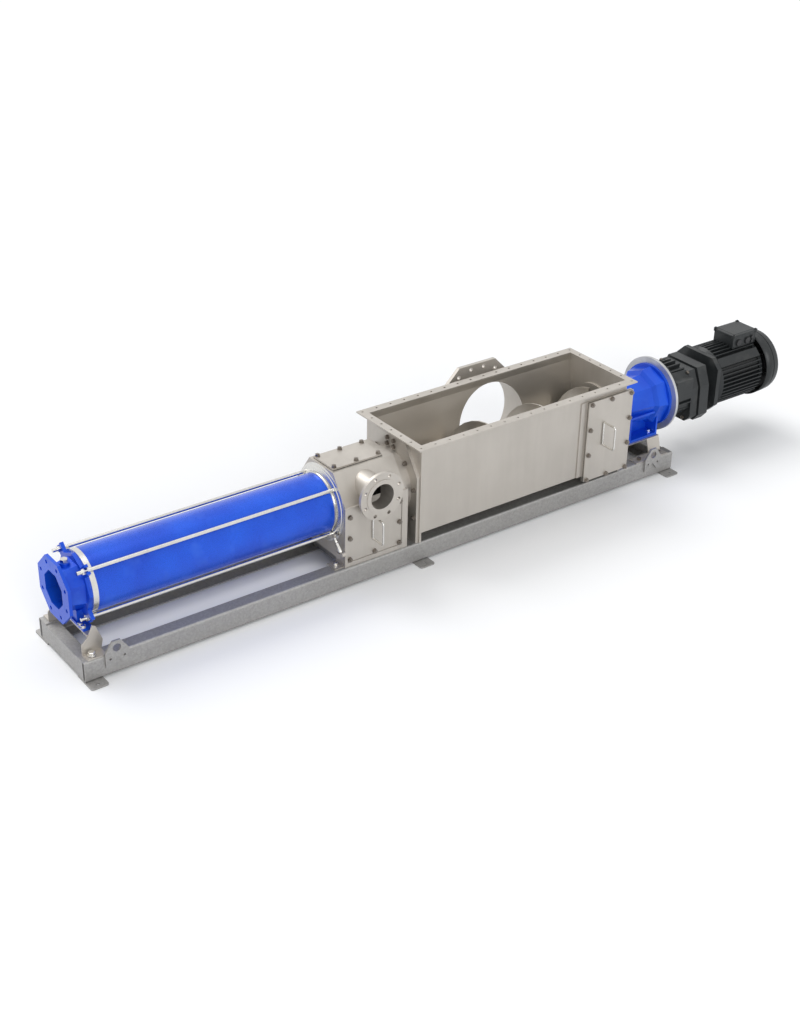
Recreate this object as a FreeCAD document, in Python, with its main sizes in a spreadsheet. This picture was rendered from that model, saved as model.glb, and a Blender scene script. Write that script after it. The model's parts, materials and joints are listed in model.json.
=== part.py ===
import FreeCAD, Part
import math
import os
import re
import Sketcher

os.makedirs("parts", exist_ok=True)
doc = FreeCAD.newDocument("progressive_cavity_pump")

# Sizes in millimetres. X runs along the pump from the outlet to the motor, Y to the far side, Z up.
# A word that ends in _at is a place along X, and one in _height is a height above the floor.
SIZES = {
    "axis_height": 434,
    # base frame of two bent channels
    "rail_overhang": 24,
    "rail_outer": 259,
    "rail_flange": 85,
    "rail_depth": 120,
    "frame_wall": 6,
    "bend_radius": 12,
    "cross_member_reach": 235,
    "cross_member_flange": 70,
    "first_cross_member_at": -350,
    "second_cross_member_at": 800,
    "third_cross_member_at": 1480,
    "foot_thickness": 8,
    "foot_length": 100,
    "foot_outer": 328,
    "foot_corner": 14,
    "foot_hole": 18,
    "foot_hole_offset": 298,
    "foot_inset": 48,
    "middle_foot_at": 60,
    # lifting lugs
    "lug_inset": 180,
    "lug_thickness": 12,
    "lug_half_base": 67,
    "lug_half_top": 22,
    "lug_leg": 32,
    "lug_foot_height": 60,
    "lug_notch_height": 107,
    "lug_shoulder_height": 142,
    "lug_top_height": 205,
    "lug_hole": 46,
    "lug_hole_height": 163,
    "lug_bolt_offset": 40,
    "lug_bolt_hole": 13,
    "lug_bolt_height": 106,
    # outlet casing with its flange
    "outlet_face_at": -2061,
    "outlet_flange_flats": 340,
    "outlet_flange_thickness": 18,
    "outlet_bore_flats": 195,
    "outlet_bolt_circle": 295,
    "outlet_bolt_hole": 22,
    "neck_front_radius": 119,
    "neck_rear_radius": 141,
    "passage_rear_radius": 127,
    "clamp_plate_at": -1948,
    "clamp_plate_thickness": 20,
    "clamp_plate_radius": 172,
    "ear_reach": 215,
    "ear_half_width": 27,
    "rod_slot_width": 24,
    "plug_at": -1992,
    "plug_boss_radius": 27,
    "plug_boss_height": 574,
    "plug_flats": 36,
    "plug_head": 17,
    "pad_front_at": -1990,
    "pad_rear_at": -1935,
    "pad_half_width": 150,
    "pad_thickness": 15,
    "pad_web_half_width": 70,
    "pad_web_inset": 8,
    # saddle under the outlet casing
    "saddle_plate": 8,
    "saddle_top_height": 235,
    "saddle_half_width": 188,
    "saddle_wall": 6,
    "saddle_foot_outer": 255,
    "saddle_front_at": -2026,
    "saddle_rear_at": -1920,
    "saddle_step_height": 187,
    "saddle_rear_lean": 12,
    "saddle_peak_at": -1959,
    "saddle_peak_height": 286,
    "saddle_peak_front": 27,
    "saddle_peak_rear": 18,
    "saddle_peak_drop": 10,
    "saddle_deck_margin": 5,
    "saddle_bolt_at": -1987,
    "saddle_bolt_side": 221,
    # stator and its clamping rods
    "rod_offset": 135,
    "rod_diameter": 20,
    "rod_front_at": -1990,
    "rod_nut_flats": 30,
    "rod_nut_height": 16,
    "rod_clearance": 0.3,
    "end_ring_thickness": 30,
    "end_ring_radius": 175,
    "stator_end_at": -479,
    "stator_radius": 172,
    "stator_tube_wall": 8,
    "rotor_diameter": 130,
    "rotor_offset": 22,
    "rotor_pitch": 355,
    "rotor_clearance": 1.2,
    "sections_per_pitch": 20,
    "passage_radius": 120,
    "adaptor_shoulder": 7,
    "adaptor_shoulder_radius": 180,
    "adaptor_groove": 4,
    "adaptor_groove_radius": 174,
    "adaptor_flange_radius": 225,
    # coupling rod and its joints
    "rotor_head_radius": 45,
    "rotor_head_at": -400,
    "drive_stub_at": -70,
    "coupling_rod_radius": 30,
    "joint_gap": 4,
    "boot_radius": 60,
    "boot_length": 70,
    "boot_overlap": 16,
    "running_gap": 0.05,
    # joint chamber
    "chamber_front_at": -450,
    "chamber_rear_at": -45,
    "chamber_half_width": 235,
    "chamber_roof_half_width": 116,
    "chamber_roof_height": 660,
    "chamber_shoulder_height": 492,
    "chamber_floor_height": 150,
    "chamber_wall": 6,
    "throat_radius": 200,
    "joint_plate_at": 22,
    "joint_plate_thickness": 20,
    "joint_plate_half_width": 250,
    "joint_plate_half_top": 135,
    "joint_plate_shoulder_height": 545,
    "joint_plate_top_height": 712,
    "top_bolt_side": 30,
    "top_bolt_low": 218,
    "top_bolt_high": 254,
    "slope_bolt_side": 143,
    "slope_bolt_rise": 161,
    "upper_bolt_side": 227,
    "upper_bolt_rise": 26,
    "lower_bolt_side": 229,
    "lower_bolt_drop": 147,
    # side cover of the chamber
    "side_frame_front_at": -459,
    "side_frame_rear_at": -35,
    "side_frame_top_height": 497,
    "side_frame_thickness": 12,
    "side_cover_front_at": -442,
    "side_cover_rear_at": -74,
    "side_cover_low_height": 155,
    "side_cover_top_height": 453,
    "side_cover_thickness": 8,
    "side_cover_gap": 1,
    "side_opening_margin": 48,
    "side_handle_at": -273,
    "side_handle_low_height": 258,
    "side_handle_top_height": 398,
    "side_handle_reach": 345,
    # top cover of the chamber
    "top_cover_front_at": -435,
    "top_cover_rear_at": -108,
    "top_cover_half_width": 96,
    "top_cover_thickness": 10,
    "gasket_thickness": 3,
    "cover_margin": 16,
    # side port
    "port_at": -264,
    "port_height": 551,
    "port_face": 318,
    "port_flange_diameter": 285,
    "port_flange_thickness": 18,
    "port_tube_diameter": 168,
    "port_bore": 150,
    "port_bolt_circle": 240,
    "port_bolt_hole": 22,
    "port_raised_radius": 101,
    "port_raise": 3,
    # brackets and stays at the front of the chamber
    "bracket_front_at": -519,
    "bracket_rear_at": -450,
    "bracket_inner": 155,
    "bracket_outer": 252,
    "bracket_rise": 60,
    "stay_thickness": 12,
    "stay_bar_radius": 4.5,
    "stay_eye_radius": 13,
    "stay_top_side": 158,
    "stay_top_height": 295,
    "stay_low_side": 241,
    "stay_low_height": 215,
    # hopper
    "hopper_front_at": 42,
    "hopper_rear_at": 1586,
    "hopper_wall": 6,
    "hopper_half_width": 248,
    "hopper_shoulder_height": 700,
    "trough_radius": 195,
    "hopper_rise": 37,
    "hopper_flange_thickness": 8,
    "hopper_flange_front_at": -3,
    "hopper_flange_rear_at": 1628,
    "hopper_flange_half_width": 304,
    "hopper_hole": 14,
    "hopper_hole_margin": 26,
    "hopper_long_pitches": 16,
    "hopper_short_pitches": 6,
    "skirt_low_height": 191,
    "skirt_leg": 13,
    # rear inlet
    "inlet_at": 932,
    "inlet_height": 452,
    "inlet_face": 386,
    "inlet_flange_flats": 670,
    "inlet_flange_thickness": 24,
    "inlet_tube_diameter": 508,
    "inlet_tube_wall": 4,
    "inlet_bolt_circle": 620,
    "inlet_bolt_hole": 26,
    "inlet_depth": 170,
    # inspection port of the hopper
    "inspection_front_at": 1265,
    "inspection_rear_at": 1620,
    "inspection_low_height": 160,
    "inspection_drop": 50,
    "window_front_margin": 53,
    "window_rear_margin": 59,
    "window_low_margin": 42,
    "window_top_margin": 45,
    "window_depth": 182,
    "inspection_frame_face": 273,
    "inspection_strip": 44,
    "inspection_nut_margin": 23,
    "inspection_gasket": 4,
    "inspection_cover_thickness": 8,
    "inspection_handle_at": 1391,
    "inspection_handle_low_height": 382,
    "inspection_handle_top_height": 531,
    "inspection_handle_reach": 390,
    "handle_diameter": 12,
    "handle_bend": 16,
    "cover_nut_flats": 24,
    "cover_nut_height": 13,
    # auger
    "auger_radius": 176,
    "auger_core_radius": 57,
    "auger_front_at": -30,
    "auger_rear_at": 1560,
    "flight_front_at": 277,
    "flight_rear_at": 1530,
    "flight_pitch": 422,
    "flight_crest_at": 1108.6,
    "flight_thickness": 10,
    # drive end
    "shaft_radius": 45,
    "spigot_radius": 30,
    "spigot_length": 60,
    "spigot_gap": 0.15,
    "seal_disc_radius": 186,
    "seal_disc_thickness": 12,
    "seal_hub_radius": 120,
    "seal_flange_radius": 188,
    "seal_flange_thickness": 18,
    "lantern_waist_at": 1760,
    "lantern_step_at": 1955,
    "lantern_bell_at": 1975,
    "lantern_disc_at": 2040,
    "lantern_front_radius": 128,
    "lantern_waist_radius": 138,
    "lantern_step_radius": 155,
    "lantern_bell_radius": 180,
    "lantern_rim_radius": 192,
    "lantern_disc_radius": 200,
    "lantern_disc_thickness": 18,
    "bearing_radius": 85,
    "bearing_width": 40,
    "bearing_seat_at": 1690,
    "lantern_bore_radius": 50,
    "foot_box_front_at": 1762,
    "foot_box_rear_at": 2002,
    "foot_box_half_width": 150,
    "foot_box_height": 392,
    "foot_box_wall": 14,
    "foot_box_pocket": 90,
    "foot_box_floor": 16,
    "drive_saddle_front_at": 1740,
    "drive_saddle_rear_at": 2008,
    "drive_saddle_half_width": 165,
    "drive_saddle_height": 221,
    "drive_saddle_lean": 25,
    "drive_bolt_inset": 50,
    "drive_bolt_side": 225,
    "ring_radius": 238,
    "ring_thickness": 18,
    "ring_bore_radius": 60,
    # gearbox
    "gearbox_flange_radius": 225,
    "gearbox_flange_thickness": 22,
    "gearbox_rim_at": 2262,
    "gearbox_rear_at": 2322,
    "gearbox_half_width": 158,
    "gearbox_half_height": 150,
    "gearbox_chamfer": 58,
    "gearbox_rib": 9,
    "gearbox_rib_radius": 180,
    "gearbox_panel_side": 175,
    "gearbox_panel_top": 117,
    "gearbox_panel_low": 18,
    "gearbox_cover_thickness": 88,
    "gearbox_groove": 10,
    "gearbox_rim_inset": 9,
    "plate_top_half_width": 128,
    "plate_top_rise": 156,
    "plate_middle_half_width": 176,
    "plate_middle_rise": 39,
    "plate_low_half_width": 185,
    "plate_low_drop": 155,
    "plate_foot_half_width": 142,
    "plate_foot_drop": 206,
    "shaft_socket": 40,
    # motor
    "adapter_radius": 118,
    "adapter_flange_at": 2470,
    "adapter_flange_half": 184,
    "adapter_flange_chamfer": 62,
    "motor_front_at": 2502,
    "motor_shield_radius": 182,
    "motor_shield_thickness": 22,
    "motor_core_radius": 168,
    "rear_shield_radius": 176,
    "motor_fin_radius": 200,
    "motor_fin_thickness": 6,
    "motor_fin_count": 44,
    "motor_panel_half_width": 30,
    "motor_frame_rear_at": 2882,
    "cowl_front_at": 2908,
    "cowl_rear_at": 3045,
    "cowl_front_radius": 214,
    "cowl_rear_radius": 226,
    "cowl_face_radius": 200,
    "cowl_crown": 22,
    "cowl_groove_at": 2986,
    "cowl_groove_width": 7,
    "cowl_groove_depth": 4,
    "cowl_wall": 3,
    "cowl_slot_count": 20,
    "cowl_slot_inner": 60,
    "cowl_slot_outer": 128,
    "cowl_slot_width": 9,
    "motor_shaft_radius": 24,
    "motor_shaft_front_at": 2480,
    "fan_radius": 165,
    "fan_hub_radius": 45,
    "fan_front_at": 2920,
    "fan_width": 60,
    "fan_blade_count": 7,
    "fan_blade_thickness": 6,
    "box_front_at": 2696,
    "box_rear_at": 2904,
    "box_half_width": 84,
    "box_low_height": 613,
    "box_lid_height": 690,
    "box_top_height": 706,
    "box_pad_margin": 14,
    "box_gap": 2,
}

# Sizes that follow from the ones above.
DERIVED = {
    "rail_top": "=foot_thickness + rail_depth",
    "rail_half_length": "=rail_overhang - saddle_front_at",
    "foot_station": "=rail_half_length - foot_inset",
    "lug_station": "=rail_half_length - lug_inset",
    "stator_front_at": "=clamp_plate_at + clamp_plate_thickness + end_ring_thickness",
    "cavity_radius": "=rotor_diameter / 2 + rotor_clearance",
    "lining_radius": "=stator_radius - stator_tube_wall",
    "hopper_top_height": "=inlet_height + inlet_tube_diameter / 2 + hopper_rise",
    "hopper_flange_height": "=hopper_top_height - hopper_flange_thickness",
    "inspection_top_height": "=hopper_flange_height - inspection_drop",
    "window_front_at": "=inspection_front_at + window_front_margin",
    "window_rear_at": "=inspection_rear_at - window_rear_margin",
    "window_low_height": "=inspection_low_height + window_low_margin",
    "window_top_height": "=inspection_top_height - window_top_margin",
    "skirt_inner": "=hopper_half_width + hopper_wall",
    "skirt_outer": "=skirt_inner + hopper_wall",
    "seal_rear_at": "=hopper_rear_at + seal_flange_thickness",
    "lantern_rear_at": "=lantern_disc_at + lantern_disc_thickness",
    "gearbox_front_at": "=lantern_rear_at + ring_thickness",
    "cover_rear_at": "=gearbox_rear_at + gearbox_cover_thickness",
}

sheet = doc.addObject("Spreadsheet::Sheet", "sizes")
for row, (word, value) in enumerate({**SIZES, **DERIVED}.items(), start=1):
    sheet.set(f"A{row}", word)
    sheet.set(f"B{row}", str(value))
    sheet.setAlias(f"B{row}", word)
doc.recompute()


def size(formula):
    """The value of a formula made of the words in the sheet."""
    return float(sheet.evalExpression(str(formula)))


def bind(item, name, formula):
    """Tie one property of an object to a formula made of the words in the sheet."""
    words = re.sub(r"[a-z]+(?:_[a-z]+)+", lambda found: "sizes." + found.group(0), str(formula))
    item.setExpression(name, words)


TURNS = {
    "x": FreeCAD.Rotation(FreeCAD.Vector(0, 1, 0), 90),
    "y": FreeCAD.Rotation(FreeCAD.Vector(1, 0, 0), -90),
    "z": FreeCAD.Rotation(),
}
PLANES = {"x": "YZ_Plane", "y": "XZ_Plane", "z": "XY_Plane"}


def place(item, spot):
    for letter, formula in zip("xyz", spot):
        bind(item, f"Placement.Base.{letter}", formula)
    return item


def block(name, along_x, along_y, along_z):
    """A box between two formulas on each axis."""
    item = doc.addObject("Part::Box", name)
    spans = (along_x, along_y, along_z)
    for side, (low, high) in zip(("Length", "Width", "Height"), spans):
        bind(item, side, f"({high}) - ({low})")
    return place(item, [low for low, high in spans])


def rod(name, axis, spot, radius, length):
    """A round bar that starts at a spot and runs along an axis."""
    item = doc.addObject("Part::Cylinder", name)
    item.Placement.Rotation = TURNS[axis]
    bind(item, "Radius", radius)
    bind(item, "Height", length)
    return place(item, spot)


def regular_prism(name, sides, axis, spot, flats, length, roll=0.0):
    """A bar with a regular section, sized across its flats, as nuts, heads and octagon flanges are."""
    item = doc.addObject("Part::Prism", name)
    item.Polygon = sides
    item.Placement.Rotation = TURNS[axis] * FreeCAD.Rotation(FreeCAD.Vector(0, 0, 1), roll)
    bind(item, "Circumradius", f"({flats}) / 2 / cos({180 / sides})")
    bind(item, "Height", length)
    return place(item, spot)


def octagon(name, station, radius, roll):
    item = doc.addObject("Part::RegularPolygon", name)
    item.Polygon = 8
    item.Placement.Rotation = TURNS["x"] * FreeCAD.Rotation(FreeCAD.Vector(0, 0, 1), roll)
    bind(item, "Circumradius", radius)
    return place(item, (station, 0, "axis_height"))


def octagon_loft(name, sections, roll=0.0):
    """A straight-sided octagonal cone through (place along X, corner radius) sections."""
    item = doc.addObject("Part::Loft", name)
    item.Sections = [octagon(f"{name}_{number}", *section, roll)
                     for number, section in enumerate(sections)]
    item.Solid = True
    item.Ruled = True
    return item


def joined(name, items):
    item = doc.addObject("Part::MultiFuse", name)
    item.Shapes = items
    item.Refine = True
    return item


def cut(name, base, tools):
    item = doc.addObject("Part::Cut", name)
    item.Base = base
    item.Tool = tools[0] if len(tools) == 1 else joined(name + "_tools", tools)
    item.Refine = True
    return item


def group(name, items):
    """Pieces that share one node and stay separate solids."""
    item = doc.addObject("Part::Compound", name)
    item.Links = items
    return item


def new_sketch(body, name, axis, start):
    """A sketch on the plane that faces an axis, at a formula along that axis."""
    sketch = body.newObject("Sketcher::SketchObject", name)
    plane = next(feature for feature in body.Origin.OriginFeatures if feature.Role == PLANES[axis])
    sketch.AttachmentSupport = [(plane, "")]
    sketch.MapMode = "FlatFace"
    side = -1 if axis == "y" else 1
    bind(sketch, "AttachmentOffset.Base.z", f"{side} * ({start})")
    return sketch


def pin_point(sketch, geometry, point, spot):
    for kind, formula in zip(("DistanceX", "DistanceY"), spot):
        constraint = Sketcher.Constraint(kind, -1, 1, geometry, point, size(formula))
        number = sketch.addConstraint(constraint)
        bind(sketch, f"Constraints[{number}]", formula)


def draw_outline(sketch, points):
    """A closed outline whose corners are all tied to formulas."""
    spots = [FreeCAD.Vector(size(across), size(up), 0) for across, up in points]
    first = sketch.GeometryCount
    count = len(points)
    for index in range(count):
        sketch.addGeometry(Part.LineSegment(spots[index], spots[(index + 1) % count]), False)
    for index in range(count):
        after = first + (index + 1) % count
        sketch.addConstraint(Sketcher.Constraint("Coincident", first + index, 2, after, 1))
        pin_point(sketch, first + index, 1, points[index])


def draw_circle(sketch, across, up, diameter):
    centre = FreeCAD.Vector(size(across), size(up), 0)
    circle = Part.Circle(centre, FreeCAD.Vector(0, 0, 1), size(diameter) / 2)
    index = sketch.addGeometry(circle, False)
    pin_point(sketch, index, 3, (across, up))
    number = sketch.addConstraint(Sketcher.Constraint("Diameter", index, size(diameter)))
    bind(sketch, f"Constraints[{number}]", diameter)


def pad(name, axis, low, high, outlines=(), circles=()):
    """A body padded along an axis from closed outlines and circles, an inner one being a hole."""
    body = doc.addObject("PartDesign::Body", name)
    sketch = new_sketch(body, name + "_sketch", axis, high if axis == "y" else low)
    for points in outlines:
        draw_outline(sketch, points)
    for circle in circles:
        draw_circle(sketch, *circle)
    feature = body.newObject("PartDesign::Pad", name + "_pad")
    feature.Profile = sketch
    bind(feature, "Length", f"({high}) - ({low})")
    return body


def turned(name, points):
    """A body turned about the pump axis from an outline of (place along X, radius) corners."""
    body = doc.addObject("PartDesign::Body", name)
    sketch = new_sketch(body, name + "_sketch", "y", 0)
    draw_outline(sketch, points)
    feature = body.newObject("PartDesign::Revolution", name + "_turn")
    feature.Profile = sketch
    feature.ReferenceAxis = (sketch, ["H_Axis"])
    feature.Angle = 360
    bind(body, "Placement.Base.z", "axis_height")
    return body


def round_edges(body, name, radius, test):
    """Round the edges of a body's last feature that pass a test."""
    doc.recompute()
    tip = body.Tip
    names = [f"Edge{number}" for number, edge in enumerate(tip.Shape.Edges, start=1) if test(edge)]
    feature = body.newObject("PartDesign::Fillet", name)
    feature.Base = (tip, names)
    bind(feature, "Radius", radius)


def rectangle(low_across, high_across, low_up, high_up):
    return [(low_across, low_up), (high_across, low_up), (high_across, high_up), (low_across, high_up)]


def ring_places(count, diameter, first_angle):
    """Formulas for the places of a ring of holes, as steps away from its centre."""
    angles = [first_angle + index * 360 / count for index in range(count)]
    return [(f"({diameter}) / 2 * cos({angle})", f"({diameter}) / 2 * sin({angle})") for angle in angles]


def turned_copies(name, items, angles):
    """Pieces made relative to the pump axis, turned about it to each angle."""
    copies = []
    for number, angle in enumerate(angles):
        copy = group(f"{name}_{number}", items)
        copy.Placement.Rotation = FreeCAD.Rotation(FreeCAD.Vector(1, 0, 0), angle)
        copies.append(place(copy, (0, 0, "axis_height")))
    return copies


NODES = {}


def node(name, item):
    item.Label = name
    NODES[name] = item
    return item


# Base frame: two bent channels, cross members between their flanges, foot plates and lifting lugs.
def rail(name, side):
    web, lip = f"{side} * rail_outer", f"{side} * (rail_outer - rail_flange)"
    face = f"{side} * (rail_outer - frame_wall)"
    low, high = "foot_thickness", "rail_top"
    low_face, high_face = "foot_thickness + frame_wall", "rail_top - frame_wall"
    points = [(web, low), (lip, low), (lip, low_face), (face, low_face),
              (face, high_face), (lip, high_face), (lip, high), (web, high)]
    body = pad(name, "x", "-rail_half_length", "rail_half_length", [points])

    def bent_edge(edge, distance):
        middle = edge.CenterOfMass
        along = edge.BoundBox.XLength > size("rail_half_length")
        return along and abs(abs(middle.y) - distance) < 0.1

    round_edges(body, name + "_outer_bend", "bend_radius", lambda edge: bent_edge(edge, size("rail_outer")))
    inner = size("rail_outer - frame_wall")
    round_edges(body, name + "_inner_bend", "bend_radius - frame_wall", lambda edge: bent_edge(edge, inner))
    return node(name, body)


def cross_member(name, station, side):
    """A channel across the frame, its web at a place along X and its flanges towards one side."""
    low, high = "foot_thickness + frame_wall", "rail_top - frame_wall"
    web, lip = f"{station}", f"{station} + {side} * cross_member_flange"
    face = f"{station} + {side} * frame_wall"
    points = [(web, low), (lip, low), (lip, f"{low} + frame_wall"), (face, f"{low} + frame_wall"),
              (face, f"{high} - frame_wall"), (lip, f"{high} - frame_wall"), (lip, high), (web, high)]
    return pad(name, "y", "-cross_member_reach", "cross_member_reach", [points])


def foot_plate(name, station, side):
    near, far = f"{side} * (rail_outer - rail_flange)", f"{side} * foot_outer"
    left, right = f"{station} - foot_length / 2", f"{station} + foot_length / 2"
    hole = (station, f"{side} * foot_hole_offset", "foot_hole")
    body = pad(name, "z", 0, "foot_thickness", [rectangle(left, right, near, far)], [hole])

    def outer_corner(edge):
        upright = edge.BoundBox.ZLength > 1 and edge.BoundBox.XLength < 0.1
        return upright and abs(abs(edge.CenterOfMass.y) - size("foot_outer")) < 0.1

    round_edges(body, name + "_corners", "foot_corner", outer_corner)
    return body


def lifting_lug(name, station, side):
    def across(offset):
        return f"{station} + ({offset})"

    foot, shoulder = "lug_foot_height", "lug_shoulder_height"
    points = [(across("-lug_half_base"), foot), (across("-lug_half_base + lug_leg"), foot),
              (across("0"), "lug_notch_height"), (across("lug_half_base - lug_leg"), foot),
              (across("lug_half_base"), foot), (across("lug_half_base"), shoulder),
              (across("lug_half_top"), "lug_top_height"), (across("-lug_half_top"), "lug_top_height"),
              (across("-lug_half_base"), shoulder)]
    holes = [(station, "lug_hole_height", "lug_hole")]
    for offset in ("-lug_bolt_offset", "lug_bolt_offset"):
        holes.append((across(offset), "lug_bolt_height", "lug_bolt_hole"))
    faces = sorted((f"{side} * rail_outer", f"{side} * (rail_outer + lug_thickness)"), key=size)
    return pad(name, "y", *faces, [points], holes)


rail("left_rail", -1)
rail("right_rail", 1)
stations = ("-rail_half_length", "first_cross_member_at", "second_cross_member_at", "third_cross_member_at")
members = [cross_member(f"cross_member_{number}", station, 1) for number, station in enumerate(stations)]
members.append(cross_member("rear_end_member", "rail_half_length", -1))
node("cross_members", group("cross_members", members))
foot_stations = ("-foot_station", "middle_foot_at", "foot_station")
node("foot_plates", group("foot_plates", [
    foot_plate(f"foot_plate_{number}_{side + 1}", station, side)
    for number, station in enumerate(foot_stations) for side in (-1, 1)]))
node("lifting_lugs", group("lifting_lugs", [
    lifting_lug(f"lifting_lug_{number}_{side + 1}", station, side)
    for number, station in enumerate(("-lug_station", "lug_station")) for side in (-1, 1)]))


# Outlet casing: octagonal flange and neck, clamping plate with slotted ears, plug boss and foot pad.
def outlet_casing():
    flange = regular_prism("outlet_flange", 8, "x", ("outlet_face_at", 0, "axis_height"),
                           "outlet_flange_flats", "outlet_flange_thickness", 22.5)
    neck = octagon_loft("outlet_neck", [("outlet_face_at", "neck_front_radius"),
                                        ("clamp_plate_at", "neck_rear_radius")], 22.5)
    plate = regular_prism("clamp_plate", 8, "x", ("clamp_plate_at", 0, "axis_height"),
                          "2 * clamp_plate_radius * cos(22.5)", "clamp_plate_thickness")
    plate_end = "clamp_plate_at + clamp_plate_thickness"
    bar = block("ear_bar", ("clamp_plate_at", plate_end), ("-ear_half_width", "ear_half_width"),
                ("-ear_reach", "ear_reach"))
    rod_radius = "rod_offset * sqrt(2)"
    slots = []
    for side in (-1, 1):
        ends = sorted((f"{side} * {rod_radius}", f"{side} * (ear_reach + 1)"), key=size)
        slots.append(block(f"ear_slot_{side + 1}", ("clamp_plate_at - 1", f"{plate_end} + 1"),
                           ("-rod_slot_width / 2", "rod_slot_width / 2"), ends))
        centre = ("clamp_plate_at - 1", 0, f"{side} * {rod_radius}")
        slots.append(rod(f"ear_slot_end_{side + 1}", "x", centre, "rod_slot_width / 2",
                         "clamp_plate_thickness + 2"))
    ears = turned_copies("ears", [cut("slotted_bar", bar, slots)], (45, -45))
    boss = rod("plug_boss", "z", ("plug_at", 0, "axis_height"), "plug_boss_radius",
               "plug_boss_height - axis_height")
    base = block("foot_pad", ("pad_front_at", "pad_rear_at"), ("-pad_half_width", "pad_half_width"),
                 ("saddle_top_height", "saddle_top_height + pad_thickness"))
    web = block("foot_pad_web", ("pad_front_at + pad_web_inset", "pad_rear_at"),
                ("-pad_web_half_width", "pad_web_half_width"),
                ("saddle_top_height", "axis_height - passage_radius"))
    passage = octagon_loft("outlet_passage", [
        ("outlet_face_at", "outlet_bore_flats / 2 / cos(22.5)"), (plate_end, "passage_rear_radius")], 22.5)
    holes = []
    for number, (across, up) in enumerate(ring_places(8, "outlet_bolt_circle", 22.5)):
        spot = ("outlet_face_at - 1", across, f"axis_height + {up}")
        holes.append(rod(f"outlet_hole_{number}", "x", spot, "outlet_bolt_hole / 2",
                         "outlet_flange_thickness + 2"))
    solid = joined("outlet_casing_solid", [flange, neck, plate, boss, base, web] + ears)
    return cut("outlet_casing", solid, [passage] + holes)


node("outlet_casing", outlet_casing())
node("outlet_plug", regular_prism("outlet_plug", 6, "z", ("plug_at", 0, "plug_boss_height"),
                                  "plug_flats", "plug_head"))


# Saddles: bent plates that stand on the rails and carry the two ends of the pump.
def outlet_saddle():
    low, top = "rail_top", "saddle_top_height"
    outline = [("saddle_front_at", low), ("saddle_rear_at", low),
               ("saddle_rear_at + saddle_rear_lean", "saddle_step_height"),
               ("saddle_peak_at + saddle_peak_rear", "saddle_peak_height - saddle_peak_drop"),
               ("saddle_peak_at", "saddle_peak_height"),
               ("saddle_peak_at - saddle_peak_front", f"{top} - saddle_plate"),
               ("saddle_front_at", "saddle_step_height")]
    pieces = [block("saddle_deck", ("pad_front_at", "pad_rear_at + saddle_deck_margin"),
                    ("-saddle_half_width", "saddle_half_width"), (f"{top} - saddle_plate", top))]
    for side in (-1, 1):
        wall = sorted((f"{side} * saddle_half_width",
                       f"{side} * (saddle_half_width + saddle_wall)"), key=size)
        foot = sorted((f"{side} * saddle_half_width", f"{side} * saddle_foot_outer"), key=size)
        pieces.append(pad(f"saddle_side_{side + 1}", "y", *wall, [outline]))
        pieces.append(block(f"saddle_foot_{side + 1}", ("saddle_front_at", "saddle_rear_at"), foot,
                            (low, f"{low} + saddle_wall")))
    return joined("outlet_saddle", pieces)


def drive_saddle():
    top, low, wall = "drive_saddle_height", "rail_top", "saddle_plate"
    knee, toe = "drive_saddle_half_width + drive_saddle_lean", "saddle_foot_outer"
    outer = [(toe, low), (toe, f"{low} + {wall}"), (knee, f"{low} + {wall}"),
             ("drive_saddle_half_width", top)]
    inner = [(f"drive_saddle_half_width - {wall}", f"{top} - {wall}"), (f"{knee} - {wall}", low)]
    points = outer + [(f"-({across})", up) for across, up in reversed(outer)]
    points += [(f"-({across})", up) for across, up in reversed(inner)] + inner
    return pad("drive_saddle", "x", "drive_saddle_front_at", "drive_saddle_rear_at", [points])


node("outlet_saddle", outlet_saddle())
node("drive_saddle", drive_saddle())
frame_bolts = []
for number, (station, across, height) in enumerate((
        ("saddle_bolt_at", "saddle_bolt_side", "rail_top + saddle_wall"),
        ("drive_saddle_front_at + drive_bolt_inset", "drive_bolt_side", "rail_top + saddle_plate"),
        ("drive_saddle_rear_at - drive_bolt_inset", "drive_bolt_side", "rail_top + saddle_plate"))):
    for side in (-1, 1):
        spot = (station, f"{side} * {across}", height)
        frame_bolts.append(regular_prism(f"saddle_bolt_{number}_{side + 1}", 6, "z", spot,
                                         "cover_nut_flats", "cover_nut_height"))

# Stator: end ring, blue tube, rubber lining with its double helix, adaptor ring and clamping rods.
node("stator_end_ring", turned("stator_end_ring", rectangle(
    "stator_front_at - end_ring_thickness", "stator_front_at", "passage_radius", "end_ring_radius")))
node("stator_tube", turned("stator_tube", rectangle(
    "stator_front_at", "stator_end_at", "lining_radius", "stator_radius")))


def helix_stations():
    """Planes along the stator at even steps, the last at the stator's end."""
    start, end = size("stator_front_at"), size("stator_end_at")
    count = math.ceil((end - start) / size("rotor_pitch") * size("sections_per_pitch"))
    return [start + (end - start) * index / count for index in range(count + 1)]


def on_axis_plane(station, across, up):
    return FreeCAD.Vector(station, across, up)


def rotor_circle(station):
    """Section of the single-start rotor about its own axis: a circle whose centre winds round it."""
    angle = 2 * math.pi * station / size("rotor_pitch")
    offset = size("rotor_offset")
    centre = on_axis_plane(station, offset * math.cos(angle), offset * math.sin(angle))
    circle = Part.Circle(centre, FreeCAD.Vector(1, 0, 0), size("rotor_diameter") / 2)
    return Part.Wire([circle.toShape()])


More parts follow.
